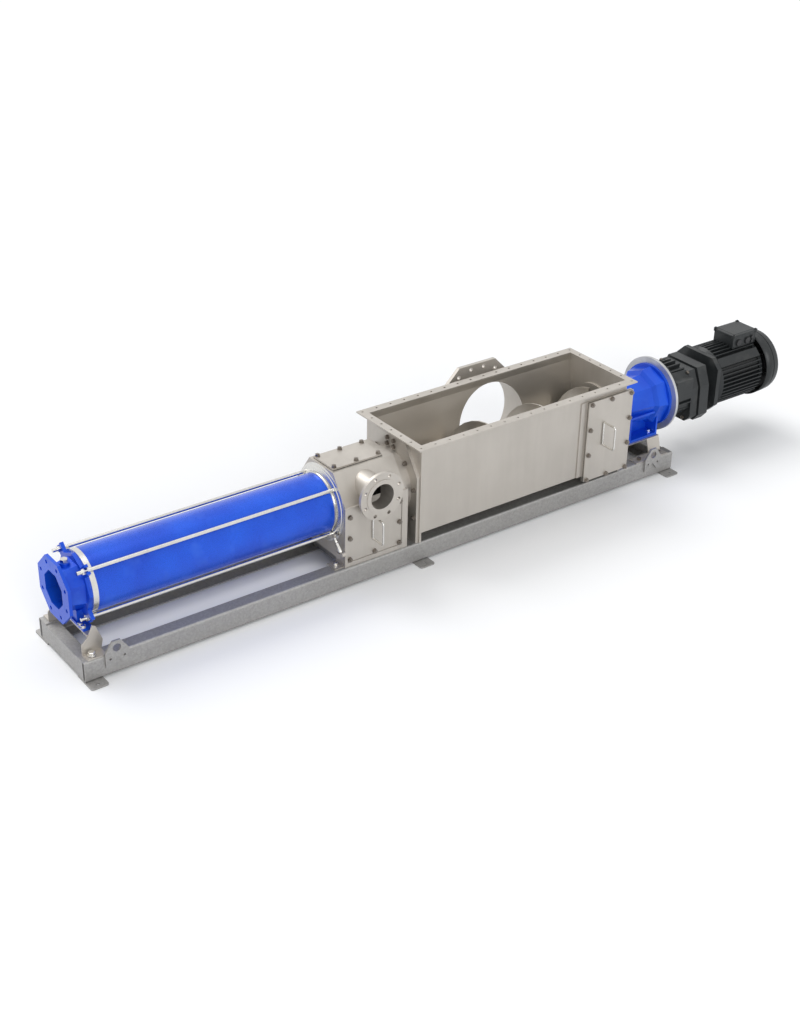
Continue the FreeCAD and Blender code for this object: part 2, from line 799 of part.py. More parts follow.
def cavity_slot(station):
    """Section of the two-start cavity: a slot with round ends that turns at half the rotor's rate."""
    angle = math.pi * station / size("rotor_pitch") + math.pi / 4
    radius, reach = size("cavity_radius"), 2 * size("rotor_offset")

    def spot(along, aside):
        return on_axis_plane(station, along * math.cos(angle) - aside * math.sin(angle),
                             along * math.sin(angle) + aside * math.cos(angle))

    first, second = (reach, radius), (reach, -radius)
    third, fourth = (-reach, -radius), (-reach, radius)
    return Part.Wire([
        Part.Arc(spot(*first), spot(reach + radius, 0), spot(*second)).toShape(),
        Part.makeLine(spot(*second), spot(*third)),
        Part.Arc(spot(*third), spot(-reach - radius, 0), spot(*fourth)).toShape(),
        Part.makeLine(spot(*fourth), spot(*first))])


def shaped(name, shape, height="axis_height", side="0"):
    """A solid made by code from the sheet's sizes, placed after its shape is set."""
    item = doc.addObject("Part::Feature", name)
    item.Shape = shape
    bind(item, "Placement.Base.y", side)
    bind(item, "Placement.Base.z", height)
    return item


def rotor():
    helix = Part.makeLoft([rotor_circle(station) for station in helix_stations()], True, True)
    start, end = size("stator_end_at"), size("rotor_head_at")
    head = Part.makeCylinder(size("rotor_head_radius"), end - start,
                             FreeCAD.Vector(start, 0, 0), FreeCAD.Vector(1, 0, 0))
    return shaped("rotor", helix.fuse(head).removeSplitter(), "axis_height + rotor_offset")


def stator_lining():
    start, end = size("stator_front_at"), size("stator_end_at")
    outside = Part.makeCylinder(size("lining_radius"), end - start,
                                FreeCAD.Vector(start, 0, 0), FreeCAD.Vector(1, 0, 0))
    cavity = Part.makeLoft([cavity_slot(station) for station in helix_stations()], True, True)
    return shaped("stator_lining", outside.cut(cavity))


def adaptor_ring():
    shoulder = "stator_end_at + adaptor_shoulder"
    groove = f"{shoulder} + adaptor_groove"
    ring = turned("adaptor_blank", [
        ("stator_end_at", "passage_radius"), ("stator_end_at", "adaptor_shoulder_radius"),
        (shoulder, "adaptor_shoulder_radius"), (shoulder, "adaptor_groove_radius"),
        (groove, "adaptor_groove_radius"), (groove, "adaptor_flange_radius"),
        ("chamber_front_at", "adaptor_flange_radius"), ("chamber_front_at", "passage_radius")])
    holes = []
    for number, (across, up) in enumerate(rod_places):
        spot = ("stator_end_at - 1", across, f"axis_height + {up}")
        holes.append(rod(f"adaptor_hole_{number}", "x", spot, "rod_diameter / 2 + rod_clearance",
                         "chamber_front_at - stator_end_at + 2"))
    return cut("adaptor_ring", ring, holes)


rod_places = [(f"{side} * rod_offset", f"{rise} * rod_offset") for side in (-1, 1) for rise in (-1, 1)]
node("rotor", rotor())
node("stator_lining", stator_lining())
node("adaptor_ring", adaptor_ring())
rods, nuts = [], []
for number, (across, up) in enumerate(rod_places):
    spot = (across, f"axis_height + {up}")
    rods.append(rod(f"tie_rod_{number}", "x", ("rod_front_at", *spot), "rod_diameter / 2",
                    "chamber_front_at - rod_front_at"))
    nut_at = "clamp_plate_at - rod_nut_height"
    nut = regular_prism(f"rod_nut_{number}", 6, "x", (nut_at, *spot), "rod_nut_flats", "rod_nut_height")
    hole = rod(f"rod_nut_hole_{number}", "x", (f"{nut_at} - 1", *spot),
               "rod_diameter / 2 + rod_clearance", "rod_nut_height + 2")
    nuts.append(cut(f"drilled_nut_{number}", nut, [hole]))
node("tie_rods", group("tie_rods", rods))
node("tie_rod_nuts", group("tie_rod_nuts", nuts))

# Coupling rod between the rotor's head and the auger's stub, with a sleeve over each joint.
rod_foot_at = "drive_stub_at - joint_gap"
rod_reach = f"({rod_foot_at} - (rotor_head_at + joint_gap))"
coupling = doc.addObject("Part::Cylinder", "coupling_rod")
coupling.Placement.Rotation = FreeCAD.Rotation(FreeCAD.Vector(0, 1, 0), -90)
bind(coupling, "Radius", "coupling_rod_radius")
bind(coupling, "Height", f"sqrt({rod_reach} ^ 2 + rotor_offset ^ 2)")
bind(coupling, "Placement.Rotation.Angle", f"-1 * atan({rod_reach} / rotor_offset)")
node("coupling_rod", place(coupling, (rod_foot_at, 0, "axis_height")))
boot_start = "rotor_head_at - boot_overlap"
boot = turned("rotor_joint_sleeve", rectangle(boot_start, f"{boot_start} + boot_length",
                                              "rotor_head_radius + running_gap", "boot_radius"))
bind(boot, "Placement.Base.z", "axis_height + rotor_offset")
node("rotor_joint_sleeve", boot)
stub_end = "drive_stub_at + boot_overlap"
node("drive_joint_sleeve", turned("drive_joint_sleeve", rectangle(
    f"{stub_end} - boot_length", stub_end, "shaft_radius + spigot_gap", "boot_radius")))


# Joint chamber: welded housing with a round throat, covers, side port, brackets and stays.
def chamber_outline(inset, low):
    """The house-shaped section of the chamber, brought in by a wall's thickness."""
    side, roof = f"chamber_half_width - {inset}", f"chamber_roof_half_width - {inset} / 2"
    right = [(side, low), (side, "chamber_shoulder_height"), (roof, f"chamber_roof_height - {inset}")]
    return right + [(f"-({across})", up) for across, up in reversed(right)]


def chamber_housing():
    front, rear, wall = "chamber_front_at", "chamber_rear_at", "chamber_wall"
    outside = pad("chamber_outside", "x", front, rear, [chamber_outline("0", "rail_top")])
    inside = pad("chamber_inside", "x", f"{front} + {wall}", f"{rear} - {wall}",
                 [chamber_outline(wall, f"chamber_floor_height + {wall}")])
    under = block("chamber_under", (f"{front} - 1", f"{rear} + 1"),
                  (f"{wall} - chamber_half_width", f"chamber_half_width - {wall}"),
                  ("rail_top - 1", "chamber_floor_height"))
    throat = rod("throat", "x", (rear, 0, "axis_height"), "throat_radius", f"joint_plate_at - {rear}")
    throat_bore = rod("throat_bore", "x", (f"{rear} - {wall} - 1", 0, "axis_height"),
                      f"throat_radius - {wall}", f"joint_plate_at - {rear} + {wall} + 2")
    front_bore = rod("front_bore", "x", (f"{front} - 1", 0, "axis_height"), "passage_radius",
                     f"{wall} + 2")
    roof_opening = block("roof_opening", ("top_cover_front_at + side_opening_margin / 2",
                                          "top_cover_rear_at - side_opening_margin / 2"),
                         ("side_opening_margin / 2 - top_cover_half_width",
                          "top_cover_half_width - side_opening_margin / 2"),
                         (f"chamber_roof_height - {wall} - 1", "chamber_roof_height + 1"))
    side_opening = block("side_opening", ("side_cover_front_at + side_opening_margin",
                                          "side_cover_rear_at - side_opening_margin"),
                         ("-chamber_half_width - 1", f"{wall} + 1 - chamber_half_width"),
                         ("side_cover_low_height + side_opening_margin",
                          "side_cover_top_height - side_opening_margin"))
    port_hole = rod("port_hole", "y", ("port_at", "-chamber_half_width", "port_height"),
                    "port_tube_diameter / 2", "chamber_half_width / 2")
    solid = joined("chamber_solid", [outside, throat])
    return cut("chamber_housing", solid,
               [inside, under, throat_bore, front_bore, roof_opening, side_opening, port_hole])


def side_port():
    face, thick = "-port_face", "port_flange_thickness"
    holes = [(f"port_at + {across}", f"port_height + {up}", "port_bolt_hole")
             for across, up in ring_places(8, "port_bolt_circle", 22.5)]
    flange = pad("port_flange", "y", face, f"{face} + {thick}",
                 circles=[("port_at", "port_height", "port_flange_diameter")] + holes)
    tube = rod("port_tube", "y", ("port_at", f"{face} + {thick} / 2", "port_height"),
               "port_tube_diameter / 2", "port_face")
    raised = rod("port_raised_face", "y", ("port_at", f"{face} - port_raise", "port_height"),
                 "port_raised_radius", "2 * port_raise")
    chamber = pad("port_seat", "x", "chamber_front_at", "chamber_rear_at",
                  [chamber_outline("chamber_wall", "rail_top")])
    beyond = block("port_beyond", ("chamber_front_at", "chamber_rear_at"),
                   ("-chamber_roof_half_width", "port_face"), ("rail_top", "hopper_top_height"))
    bore = rod("port_tube_bore", "y", ("port_at", f"{face} - 2 * port_raise", "port_height"),
               "port_bore / 2", "2 * port_face")
    return cut("side_port", joined("port_solid", [flange, tube, raised]), [chamber, beyond, bore])


node("chamber_housing", chamber_housing())
node("side_port", side_port())
frame_face = "chamber_half_width + side_frame_thickness"
side_frame = pad("side_frame_plate", "y", f"-({frame_face})", "-chamber_half_width", [
    rectangle("side_frame_front_at", "side_frame_rear_at", "rail_top", "side_frame_top_height"),
    rectangle("side_cover_front_at", "side_cover_rear_at", "side_cover_low_height", "side_cover_top_height")])
port_recess = rod("port_recess", "y", ("port_at", "-port_face", "port_height"),
                  "port_tube_diameter / 2 + side_cover_gap", "port_face")
node("side_cover_frame", cut("side_cover_frame", side_frame, [port_recess]))
cover_face = "chamber_half_width + side_cover_thickness"
node("side_cover", pad("side_cover", "y", f"-({cover_face})", "-chamber_half_width", [rectangle(
    "side_cover_front_at + side_cover_gap", "side_cover_rear_at - side_cover_gap",
    "side_cover_low_height + side_cover_gap", "side_cover_top_height - side_cover_gap")]))


def frame_places(front, rear, low, high, counts):
    """Places round a rectangle: its corners and the even steps between them on each side."""
    across_steps, up_steps = counts
    spots = []
    for step in range(across_steps + 1):
        for edge in (low, high):
            spots.append((f"{front} + ({rear} - {front}) * {step} / {across_steps}", edge))
    for step in range(1, up_steps):
        for edge in (front, rear):
            spots.append((edge, f"{low} + ({high} - {low}) * {step} / {up_steps}"))
    return spots


def side_nuts(name, side, face, spots):
    """Hexagon nuts on an upright face towards one side."""
    start = f"-({face}) - cover_nut_height" if side < 0 else face
    return [regular_prism(f"{name}_{number}", 6, "y", (across, start, up), "cover_nut_flats",
                          "cover_nut_height") for number, (across, up) in enumerate(spots)]


def bow_handle(name, side, station, low, high, face, reach):
    """A round bar bent into a bow that stands on an upright cover."""
    body = doc.addObject("PartDesign::Body", name)
    path = new_sketch(body, name + "_path", "x", station)
    foot, grip, bend = f"{side} * ({face})", f"{side} * {reach}", "handle_bend"
    turn = f"{side} * ({reach} - {bend})"
    spots = [(foot, low), (turn, low), (grip, f"{low} + {bend}"),
             (grip, f"{high} - {bend}"), (turn, high), (foot, high)]
    points = [FreeCAD.Vector(size(across), size(up), 0) for across, up in spots]
    slant = size(bend) * (1 - math.sqrt(0.5)) * side
    lift = abs(slant)
    corners = [FreeCAD.Vector(size(grip) - slant, size(low) + lift, 0),
               FreeCAD.Vector(size(grip) - slant, size(high) - lift, 0)]
    path.addGeometry(Part.LineSegment(points[0], points[1]), False)
    path.addGeometry(Part.Arc(points[1], corners[0], points[2]), False)
    path.addGeometry(Part.LineSegment(points[2], points[3]), False)
    path.addGeometry(Part.Arc(points[3], corners[1], points[4]), False)
    path.addGeometry(Part.LineSegment(points[4], points[5]), False)
    for index, at in ((0, 1), (2, 1), (2, 2), (4, 2)):
        pin_point(path, index, at, spots[{(0, 1): 0, (2, 1): 2, (2, 2): 3, (4, 2): 5}[index, at]])
    pin_point(path, 0, 2, spots[1])
    pin_point(path, 4, 1, spots[4])
    section = new_sketch(body, name + "_section", "y", foot)
    draw_circle(section, station, low, "handle_diameter")
    pipe = body.newObject("PartDesign::AdditivePipe", name + "_bar")
    pipe.Profile = section
    pipe.Spine = path
    return body


node("side_cover_handle", bow_handle("side_cover_handle", -1, "side_handle_at", "side_handle_low_height",
                                     "side_handle_top_height", cover_face, "side_handle_reach"))
cover_nuts = side_nuts("side_cover_nut", -1, cover_face, frame_places(
    "(side_cover_front_at + cover_margin)", "(side_cover_rear_at - cover_margin)",
    "(side_cover_low_height + cover_margin)", "(side_cover_top_height - cover_margin)", (2, 2)))
top_span = ("top_cover_front_at", "top_cover_rear_at"), ("-top_cover_half_width", "top_cover_half_width")
lid_low = "chamber_roof_height + gasket_thickness"
gaskets = [block("top_cover_gasket", *top_span, ("chamber_roof_height", lid_low))]
node("top_cover", block("top_cover", *top_span, (lid_low, f"{lid_low} + top_cover_thickness")))
for number, (along, across) in enumerate(frame_places(
        "(top_cover_front_at + cover_margin)", "(top_cover_rear_at - cover_margin)",
        "(cover_margin - top_cover_half_width)", "(top_cover_half_width - cover_margin)", (2, 1))):
    cover_nuts.append(regular_prism(f"top_cover_nut_{number}", 6, "z",
                                  (along, across, f"{lid_low} + top_cover_thickness"),
                                  "cover_nut_flats", "cover_nut_height"))


def chamber_bracket(name, side):
    """An angle that ties the front wall of the chamber to a rail."""
    inner, outer = sorted((f"{side} * bracket_inner", f"{side} * chamber_half_width"), key=size)
    low, face = "rail_top", "bracket_rear_at"
    foot = block(name + "_foot", ("bracket_front_at", face), (inner, outer),
                 (low, f"{low} + frame_wall"))
    back = block(name + "_back", (f"{face} - frame_wall", face), (inner, outer),
                 (low, f"{low} + bracket_rise"))
    return joined(name, [foot, back])


def stay(name, side):
    """A short stay from the adaptor ring's flange to the corner of the chamber."""
    front = "stator_end_at + adaptor_shoulder + adaptor_groove - stay_thickness"
    top = (f"{side} * stay_top_side", "stay_top_height")
    low = (f"{side} * stay_low_side", "stay_low_height")
    eyes = [rod(name + "_top_eye", "x", (front, *top), "stay_eye_radius", "stay_thickness"),
            rod(name + "_low_eye", "x", (front, *low), "stay_eye_radius",
                f"side_frame_front_at - ({front})")]
    bar = doc.addObject("Part::Cylinder", name + "_bar")
    bar.Placement.Rotation = FreeCAD.Rotation(FreeCAD.Vector(1, 0, 0), 90)
    fall, away = "(stay_top_height - stay_low_height)", "(stay_low_side - stay_top_side)"
    bind(bar, "Radius", "stay_bar_radius")
    bind(bar, "Height", f"sqrt({fall} ^ 2 + {away} ^ 2)")
    bind(bar, "Placement.Rotation.Angle", f"{-side} * (180 deg - atan({away} / {fall}))")
    place(bar, (f"{front} + stay_thickness / 2", *top))
    return joined(name, eyes + [bar])


node("chamber_brackets", group("chamber_brackets", [chamber_bracket("left_bracket", -1),
                                                    chamber_bracket("right_bracket", 1)]))
node("chamber_stays", group("chamber_stays", [stay("left_stay", -1)]))

joint_right = [("joint_plate_half_width", "rail_top"),
               ("joint_plate_half_width", "joint_plate_shoulder_height"),
               ("joint_plate_half_top", "joint_plate_top_height")]
joint_outline = joint_right + [(f"-({across})", up) for across, up in reversed(joint_right)]
node("joint_plate", pad("joint_plate", "x", "joint_plate_at", "joint_plate_at + joint_plate_thickness",
                        [joint_outline], [(0, "axis_height", "2 * (throat_radius - chamber_wall)")]))
joint_bolts = (("top_bolt_side", "top_bolt_low"), ("top_bolt_side", "top_bolt_high"),
               ("slope_bolt_side", "slope_bolt_rise"), ("upper_bolt_side", "upper_bolt_rise"),
               ("lower_bolt_side", "-lower_bolt_drop"))
for number, (across, rise) in enumerate(joint_bolts):
    for side in (-1, 1):
        spot = ("joint_plate_at - cover_nut_height", f"{side} * {across}", f"axis_height + ({rise})")
        frame_bolts.append(regular_prism(f"joint_bolt_{number}_{side + 1}", 6, "x", spot,
                                         "cover_nut_flats", "cover_nut_height"))
node("frame_bolts", group("frame_bolts", frame_bolts))


# Hopper: bent trough, end walls, top flange, side skirts, rear inlet and an inspection port.
def trough_solid(name, front, rear, inset):
    """The filled section of the hopper: upright sides, slopes and a round bottom on the pump axis."""
    body = doc.addObject("PartDesign::Body", name)
    bind(body, "Placement.Base.z", "axis_height")
    sketch = new_sketch(body, name + "_sketch", "x", front)
    side, radius = f"hopper_half_width + {inset}", f"trough_radius + {inset}"
    top, shoulder = "hopper_flange_height - axis_height", "hopper_shoulder_height - axis_height"
    reach, rise = size(side), size(shoulder)
    turn = math.atan2(rise, reach) - math.acos(size(radius) / math.hypot(rise, reach))
    touch = FreeCAD.Vector(size(radius) * math.cos(turn), size(radius) * math.sin(turn), 0)
    mirror = FreeCAD.Vector(-touch.x, touch.y, 0)
    corners = [(f"-({side})", shoulder), (f"-({side})", top), (side, top), (side, shoulder)]
    points = [FreeCAD.Vector(size(across), size(up), 0) for across, up in corners]
    lines = [(mirror, points[0]), (points[0], points[1]), (points[1], points[2]),
             (points[2], points[3]), (points[3], touch)]
    for line in lines:
        sketch.addGeometry(Part.LineSegment(*line), False)
    bottom = FreeCAD.Vector(0, -size(radius), 0)
    sketch.addGeometry(Part.Arc(mirror, bottom, touch), False)
    arc = len(lines)
    for index in range(arc - 1):
        sketch.addConstraint(Sketcher.Constraint("Coincident", index, 2, index + 1, 1))
        pin_point(sketch, index, 2, corners[index])
    sketch.addConstraint(Sketcher.Constraint("Tangent", 0, 1, arc, 1))
    sketch.addConstraint(Sketcher.Constraint("Tangent", arc - 1, 2, arc, 2))
    sketch.addConstraint(Sketcher.Constraint("Coincident", arc, 3, -1, 1))
    number = sketch.addConstraint(Sketcher.Constraint("Radius", arc, size(radius)))
    bind(sketch, f"Constraints[{number}]", radius)
    feature = body.newObject("PartDesign::Pad", name + "_pad")
    feature.Profile = sketch
    bind(feature, "Length", f"({rear}) - ({front})")
    return body


wall_front, wall_rear = "hopper_front_at + hopper_wall", "hopper_rear_at - hopper_wall"
window_span = ("window_front_at", "window_rear_at")
window_rise = ("window_low_height", "window_top_height")
inlet_bore = "inlet_tube_diameter / 2 - inlet_tube_wall"


def hopper_trough():
    outside = trough_solid("trough_outside", wall_front, wall_rear, "hopper_wall")
    inside = trough_solid("trough_inside", f"{wall_front} - 1", f"{wall_rear} + 1", "0")
    lid = block("trough_mouth", (wall_front, wall_rear), ("-hopper_half_width", "hopper_half_width"),
                ("hopper_flange_height - 1", "hopper_flange_height + 1"))
    tools = [inside, lid, rod("inlet_cut", "y", ("inlet_at", "inlet_depth + hopper_wall", "inlet_height"),
                              inlet_bore, "inlet_face")]
    tools.append(block("window_cut", window_span, ("-skirt_outer", "-window_depth"), window_rise))
    return cut("hopper_trough", outside, tools)


def end_wall(name, front, hole):
    outline = rectangle("-skirt_inner", "skirt_inner", "rail_top", "hopper_flange_height")
    return pad(name, "x", front, f"{front} + hopper_wall", [outline], [(0, "axis_height", hole)])


node("hopper_trough", hopper_trough())
node("hopper_end_walls", group("hopper_end_walls", [
    end_wall("hopper_front_wall", "hopper_front_at", "2 * (throat_radius - chamber_wall)"),
    end_wall("hopper_rear_wall", "hopper_rear_at - hopper_wall", "2 * (seal_hub_radius + spigot_gap)")]))
rim = [rectangle("hopper_flange_front_at", "hopper_flange_rear_at",
                 "-hopper_flange_half_width", "hopper_flange_half_width"),
       rectangle(wall_front, wall_rear, "-hopper_half_width", "hopper_half_width")]
rim_places = frame_places(
    "(hopper_flange_front_at + hopper_hole_margin)", "(hopper_flange_rear_at - hopper_hole_margin)",
    "(hopper_hole_margin - hopper_flange_half_width)", "(hopper_flange_half_width - hopper_hole_margin)",
    (int(size("hopper_long_pitches")), int(size("hopper_short_pitches"))))
rim_holes = [(along, across, "hopper_hole") for along, across in rim_places]
node("hopper_flange", pad("hopper_flange", "z", "hopper_flange_height", "hopper_top_height", rim, rim_holes))


def skirt(name, side, holes, circles):
    faces = sorted((f"{side} * skirt_inner", f"{side} * skirt_outer"), key=size)
    leg = "hopper_front_at + skirt_leg"
    outline = [("hopper_front_at", "rail_top"), (leg, "rail_top"), (leg, "skirt_low_height"),
               ("hopper_rear_at", "skirt_low_height"), ("hopper_rear_at", "hopper_flange_height"),
               ("hopper_front_at", "hopper_flange_height")]
    return node(name, pad(name, "y", *faces, [outline] + holes, circles))


duct_outline = rectangle("window_front_at - hopper_wall", "window_rear_at + hopper_wall",
                         "window_low_height - hopper_wall", "window_top_height + hopper_wall")
skirt("front_skirt", -1, [duct_outline], [])
skirt("rear_skirt", 1, [], [("inlet_at", "inlet_height", "inlet_tube_diameter")])


def rear_inlet():
    """A wide tube with an octagonal flange, closed at its inner end below the trough."""
    holes = []
    for number, (across, up) in enumerate(ring_places(20, "inlet_bolt_circle", 9)):
        holes.append(rod(f"inlet_hole_{number}", "y", (f"inlet_at + {across}", "inlet_face / 2",
                                                      f"inlet_height + {up}"),
                         "inlet_bolt_hole / 2", "inlet_face"))
    spot = ("inlet_at", "inlet_face - inlet_flange_thickness", "inlet_height")
    flange = regular_prism("inlet_flange", 8, "y", spot, "inlet_flange_flats",
                           "inlet_flange_thickness", 22.5)
    drilled = cut("drilled_inlet_flange", flange, holes)
    tube = rod("inlet_tube", "y", ("inlet_at", "inlet_depth", "inlet_height"), "inlet_tube_diameter / 2",
               "inlet_face - inlet_depth")
    bore = rod("inlet_tube_bore", "y", ("inlet_at", "inlet_depth + hopper_wall", "inlet_height"),
               inlet_bore, "inlet_face")
    trough = trough_solid("inlet_trough", wall_front, wall_rear, "hopper_wall")
    return cut("rear_inlet", joined("inlet_solid", [drilled, tube]), [bore, trough])


def inspection_port():
    """A short duct with a frame for the cover, closed at its inner end below the trough."""
    wall, face = "hopper_wall", "-inspection_frame_face"
    duct = block("port_duct", (f"window_front_at - {wall}", f"window_rear_at + {wall}"),
                 (face, f"{wall} - window_depth"),
                 (f"window_low_height - {wall}", f"window_top_height + {wall}"))
    frame = block("port_frame", ("inspection_front_at", "inspection_rear_at"), (face, "-skirt_outer"),
                  ("inspection_low_height", "inspection_top_height"))
    strip = block("port_strip", ("inspection_front_at - inspection_strip", "inspection_front_at"),
                  (f"-skirt_outer - {wall}", "-skirt_outer"), ("skirt_low_height", "inspection_top_height"))
    hollow = block("port_hollow", window_span, (f"{face} - 1", "-window_depth"), window_rise)
    trough = trough_solid("port_trough", wall_front, wall_rear, wall)
    return cut("inspection_port", joined("inspection_port_solid", [duct, frame, strip]), [hollow, trough])


node("rear_inlet", rear_inlet())
gasket_face = "inspection_frame_face + inspection_gasket"
lid_face = f"{gasket_face} + inspection_cover_thickness"
inspection_outline = rectangle("inspection_front_at", "inspection_rear_at",
                               "inspection_low_height", "inspection_top_height")
node("inspection_port", inspection_port())
gaskets.append(pad("inspection_gasket", "y", f"-({gasket_face})", "-inspection_frame_face",
                   [inspection_outline]))
node("inspection_cover", pad("inspection_cover", "y", f"-({lid_face})", f"-({gasket_face})",
                             [inspection_outline]))
node("inspection_handle", bow_handle("inspection_handle", -1, "inspection_handle_at",
                                     "inspection_handle_low_height", "inspection_handle_top_height",
                                     lid_face, "inspection_handle_reach"))
cover_nuts += side_nuts("inspection_nut", -1, lid_face, frame_places(
    "(inspection_front_at + inspection_nut_margin)", "(inspection_rear_at - cover_margin)",
    "(inspection_low_height + cover_margin / 2)", "(inspection_top_height - cover_margin)", (2, 3)))
node("cover_gaskets", group("cover_gaskets", gaskets))
node("cover_nuts", group("cover_nuts", cover_nuts))


# Auger: a core tube with a right-handed flight, wound from straight sections.
def flight():
    start, end = size("flight_front_at"), size("flight_rear_at")
    pitch, thick = size("flight_pitch"), size("flight_thickness")
    count = math.ceil((end - start) / pitch * 24)
    inner, outer = size("auger_core_radius") - 3, size("auger_radius")
    sections = []
    for index in range(count + 1):
        station = start + (end - start) * index / count
        angle = math.pi / 2 + 2 * math.pi * (station - size("flight_crest_at")) / pitch
        corners = ((0, inner), (thick, inner), (thick, outer), (0, outer))
        spots = [FreeCAD.Vector(station - thick / 2 + along,
                                radius * math.cos(angle), radius * math.sin(angle))
                 for along, radius in corners]
        sections.append(Part.makePolygon(spots + spots[:1]))
    return Part.makeLoft(sections, True, True)


def auger():
    stub = "auger_front_at"
    core = turned("auger_core", [
        ("drive_stub_at", 0), ("drive_stub_at", "shaft_radius"), (stub, "shaft_radius"),
        (stub, "auger_core_radius"), ("auger_rear_at", "auger_core_radius"),
        ("auger_rear_at", "spigot_radius + spigot_gap"),
        ("auger_rear_at - spigot_length - spigot_gap", "spigot_radius + spigot_gap"),
        ("auger_rear_at - spigot_length - spigot_gap", 0)])
    return joined("auger", [core, shaped("auger_flight", flight())])


node("auger", auger())
shaft_end = "gearbox_front_at + shaft_socket - joint_gap"
node("drive_shaft", turned("drive_shaft", [
    ("auger_rear_at - spigot_length", 0), ("auger_rear_at - spigot_length", "spigot_radius"),
    ("auger_rear_at", "spigot_radius"), ("auger_rear_at", "shaft_radius"),
    (shaft_end, "shaft_radius"), (shaft_end, 0)]))

# Seal housing, lantern with its foot, bearings and adapter ring.
seal_bore = "shaft_radius + running_gap"
seal_front = "hopper_rear_at - hopper_wall - seal_disc_thickness"
node("seal_housing", turned("seal_housing", [
    (seal_front, seal_bore), (seal_front, "seal_disc_radius"),
    ("hopper_rear_at - hopper_wall", "seal_disc_radius"), ("hopper_rear_at - hopper_wall", "seal_hub_radius"),
    ("hopper_rear_at", "seal_hub_radius"), ("hopper_rear_at", "seal_flange_radius"),
    ("seal_rear_at", "seal_flange_radius"), ("seal_rear_at", seal_bore)]))


def lantern():
    cone = octagon_loft("lantern_cone", [
        ("seal_rear_at", "lantern_front_radius"), ("lantern_waist_at", "lantern_waist_radius"),
        ("lantern_step_at", "lantern_step_radius"), ("lantern_bell_at", "lantern_bell_radius"),
        ("lantern_disc_at", "lantern_rim_radius")])
    disc = rod("lantern_disc", "x", ("lantern_disc_at", 0, "axis_height"), "lantern_disc_radius",
               "lantern_disc_thickness")
    low, high = "drive_saddle_height", "foot_box_height"
    box = block("foot_box", ("foot_box_front_at", "foot_box_rear_at"),
                ("-foot_box_half_width", "foot_box_half_width"), (low, high))
    tools = []
    for side in (-1, 1):
        across = sorted((f"{side} * (foot_box_half_width - foot_box_pocket)",
                         f"{side} * (foot_box_half_width + 1)"), key=size)
        tools.append(block(f"foot_pocket_{side + 1}",
                           ("foot_box_front_at + foot_box_wall", "foot_box_rear_at - foot_box_wall"),
                           across, (f"{low} + foot_box_floor", f"{high} - foot_box_wall")))
    foot = cut("lantern_foot", box, tools)
    small = rod("lantern_bore", "x", ("seal_rear_at - 1", 0, "axis_height"), "lantern_bore_radius",
                "lantern_rear_at - seal_rear_at + 2")
    large = rod("bearing_bore", "x", ("bearing_seat_at", 0, "axis_height"), "bearing_radius + running_gap",
                "lantern_rear_at - bearing_seat_at + 1")
    return cut("lantern", joined("lantern_solid", [cone, disc, foot]), [small, large])


node("lantern", lantern())
node("shaft_bearings", group("shaft_bearings", [
    turned(f"shaft_bearing_{number}", rectangle(start, f"{start} + bearing_width",
                                                seal_bore, "bearing_radius"))
    for number, start in enumerate(("bearing_seat_at", "lantern_rear_at - bearing_width"))]))
node("adapter_ring", turned("adapter_ring", rectangle(
    "lantern_rear_at", "gearbox_front_at", "ring_bore_radius", "ring_radius")))


# Gearbox: ribbed housing between a round flange and a rim, and the cover that takes the motor.
def gear_outline(inset):
    """The outline of the gearbox's two plates, wider below than above, brought in by an inset."""
    right = [(f"plate_foot_half_width - {inset}", f"axis_height - plate_foot_drop + {inset}"),
             (f"plate_low_half_width - {inset}", "axis_height - plate_low_drop"),
             (f"plate_middle_half_width - {inset}", "axis_height + plate_middle_rise"),
             (f"plate_top_half_width - {inset}", f"axis_height + plate_top_rise - {inset}")]
    return right + [(f"-({across})", up) for across, up in reversed(right)]


def chamfered_square(half_width, half_height, chamfer):
    """A rectangle about the pump axis with its four corners cut off."""
    upper = [(half_width, f"axis_height + {half_height} - {chamfer}"),
             (f"{half_width} - {chamfer}", f"axis_height + {half_height}")]
    lower = [(f"{half_width} - {chamfer}", f"axis_height - {half_height}"),
             (half_width, f"axis_height - {half_height} + {chamfer}")]
    right = lower + upper
    return right + [(f"-({across})", up) for across, up in reversed(right)]


def gearbox_housing():
    front, rim, rear = "gearbox_front_at", "gearbox_rim_at", "gearbox_rear_at"
    flange = rod("gearbox_flange", "x", (front, 0, "axis_height"), "gearbox_flange_radius",
                 "gearbox_flange_thickness")
    case = pad("gearbox_case", "x", front, rim,
               [chamfered_square("gearbox_half_width", "gearbox_half_height", "gearbox_chamfer")])
    plate = pad("gearbox_rim", "x", rim, rear, [gear_outline("gearbox_rim_inset")])
    bar = block("gearbox_rib_bar", (f"{front} + gearbox_flange_thickness - 1", f"{rim} + 1"),
                ("-gearbox_rib / 2", "gearbox_rib / 2"), ("0", "gearbox_rib_radius"))
    ribs = turned_copies("gearbox_ribs", [bar], RIB_ANGLES)
    panel = block("gearbox_panel", (f"{front} + 2 * gearbox_flange_thickness", f"{rim} + 1"),
                  ("-gearbox_panel_side", "gearbox_panel_side"),
                  ("axis_height - gearbox_panel_low", "axis_height + gearbox_panel_top"))
    socket = rod("gearbox_socket", "x", (f"{front} - 1", 0, "axis_height"), seal_bore, "shaft_socket + 1")
    return cut("gearbox_housing", joined("gearbox_solid", [flange, case, plate, panel] + ribs), [socket])


def gearbox_cover():
    groove_end = "gearbox_rear_at + gearbox_groove"
    neck = pad("cover_groove", "x", "gearbox_rear_at", groove_end, [gear_outline("2 * gearbox_rim_inset")])
    plate = pad("cover_plate", "x", groove_end, "cover_rear_at", [gear_outline("0")])
    return joined("gearbox_cover", [neck, plate])


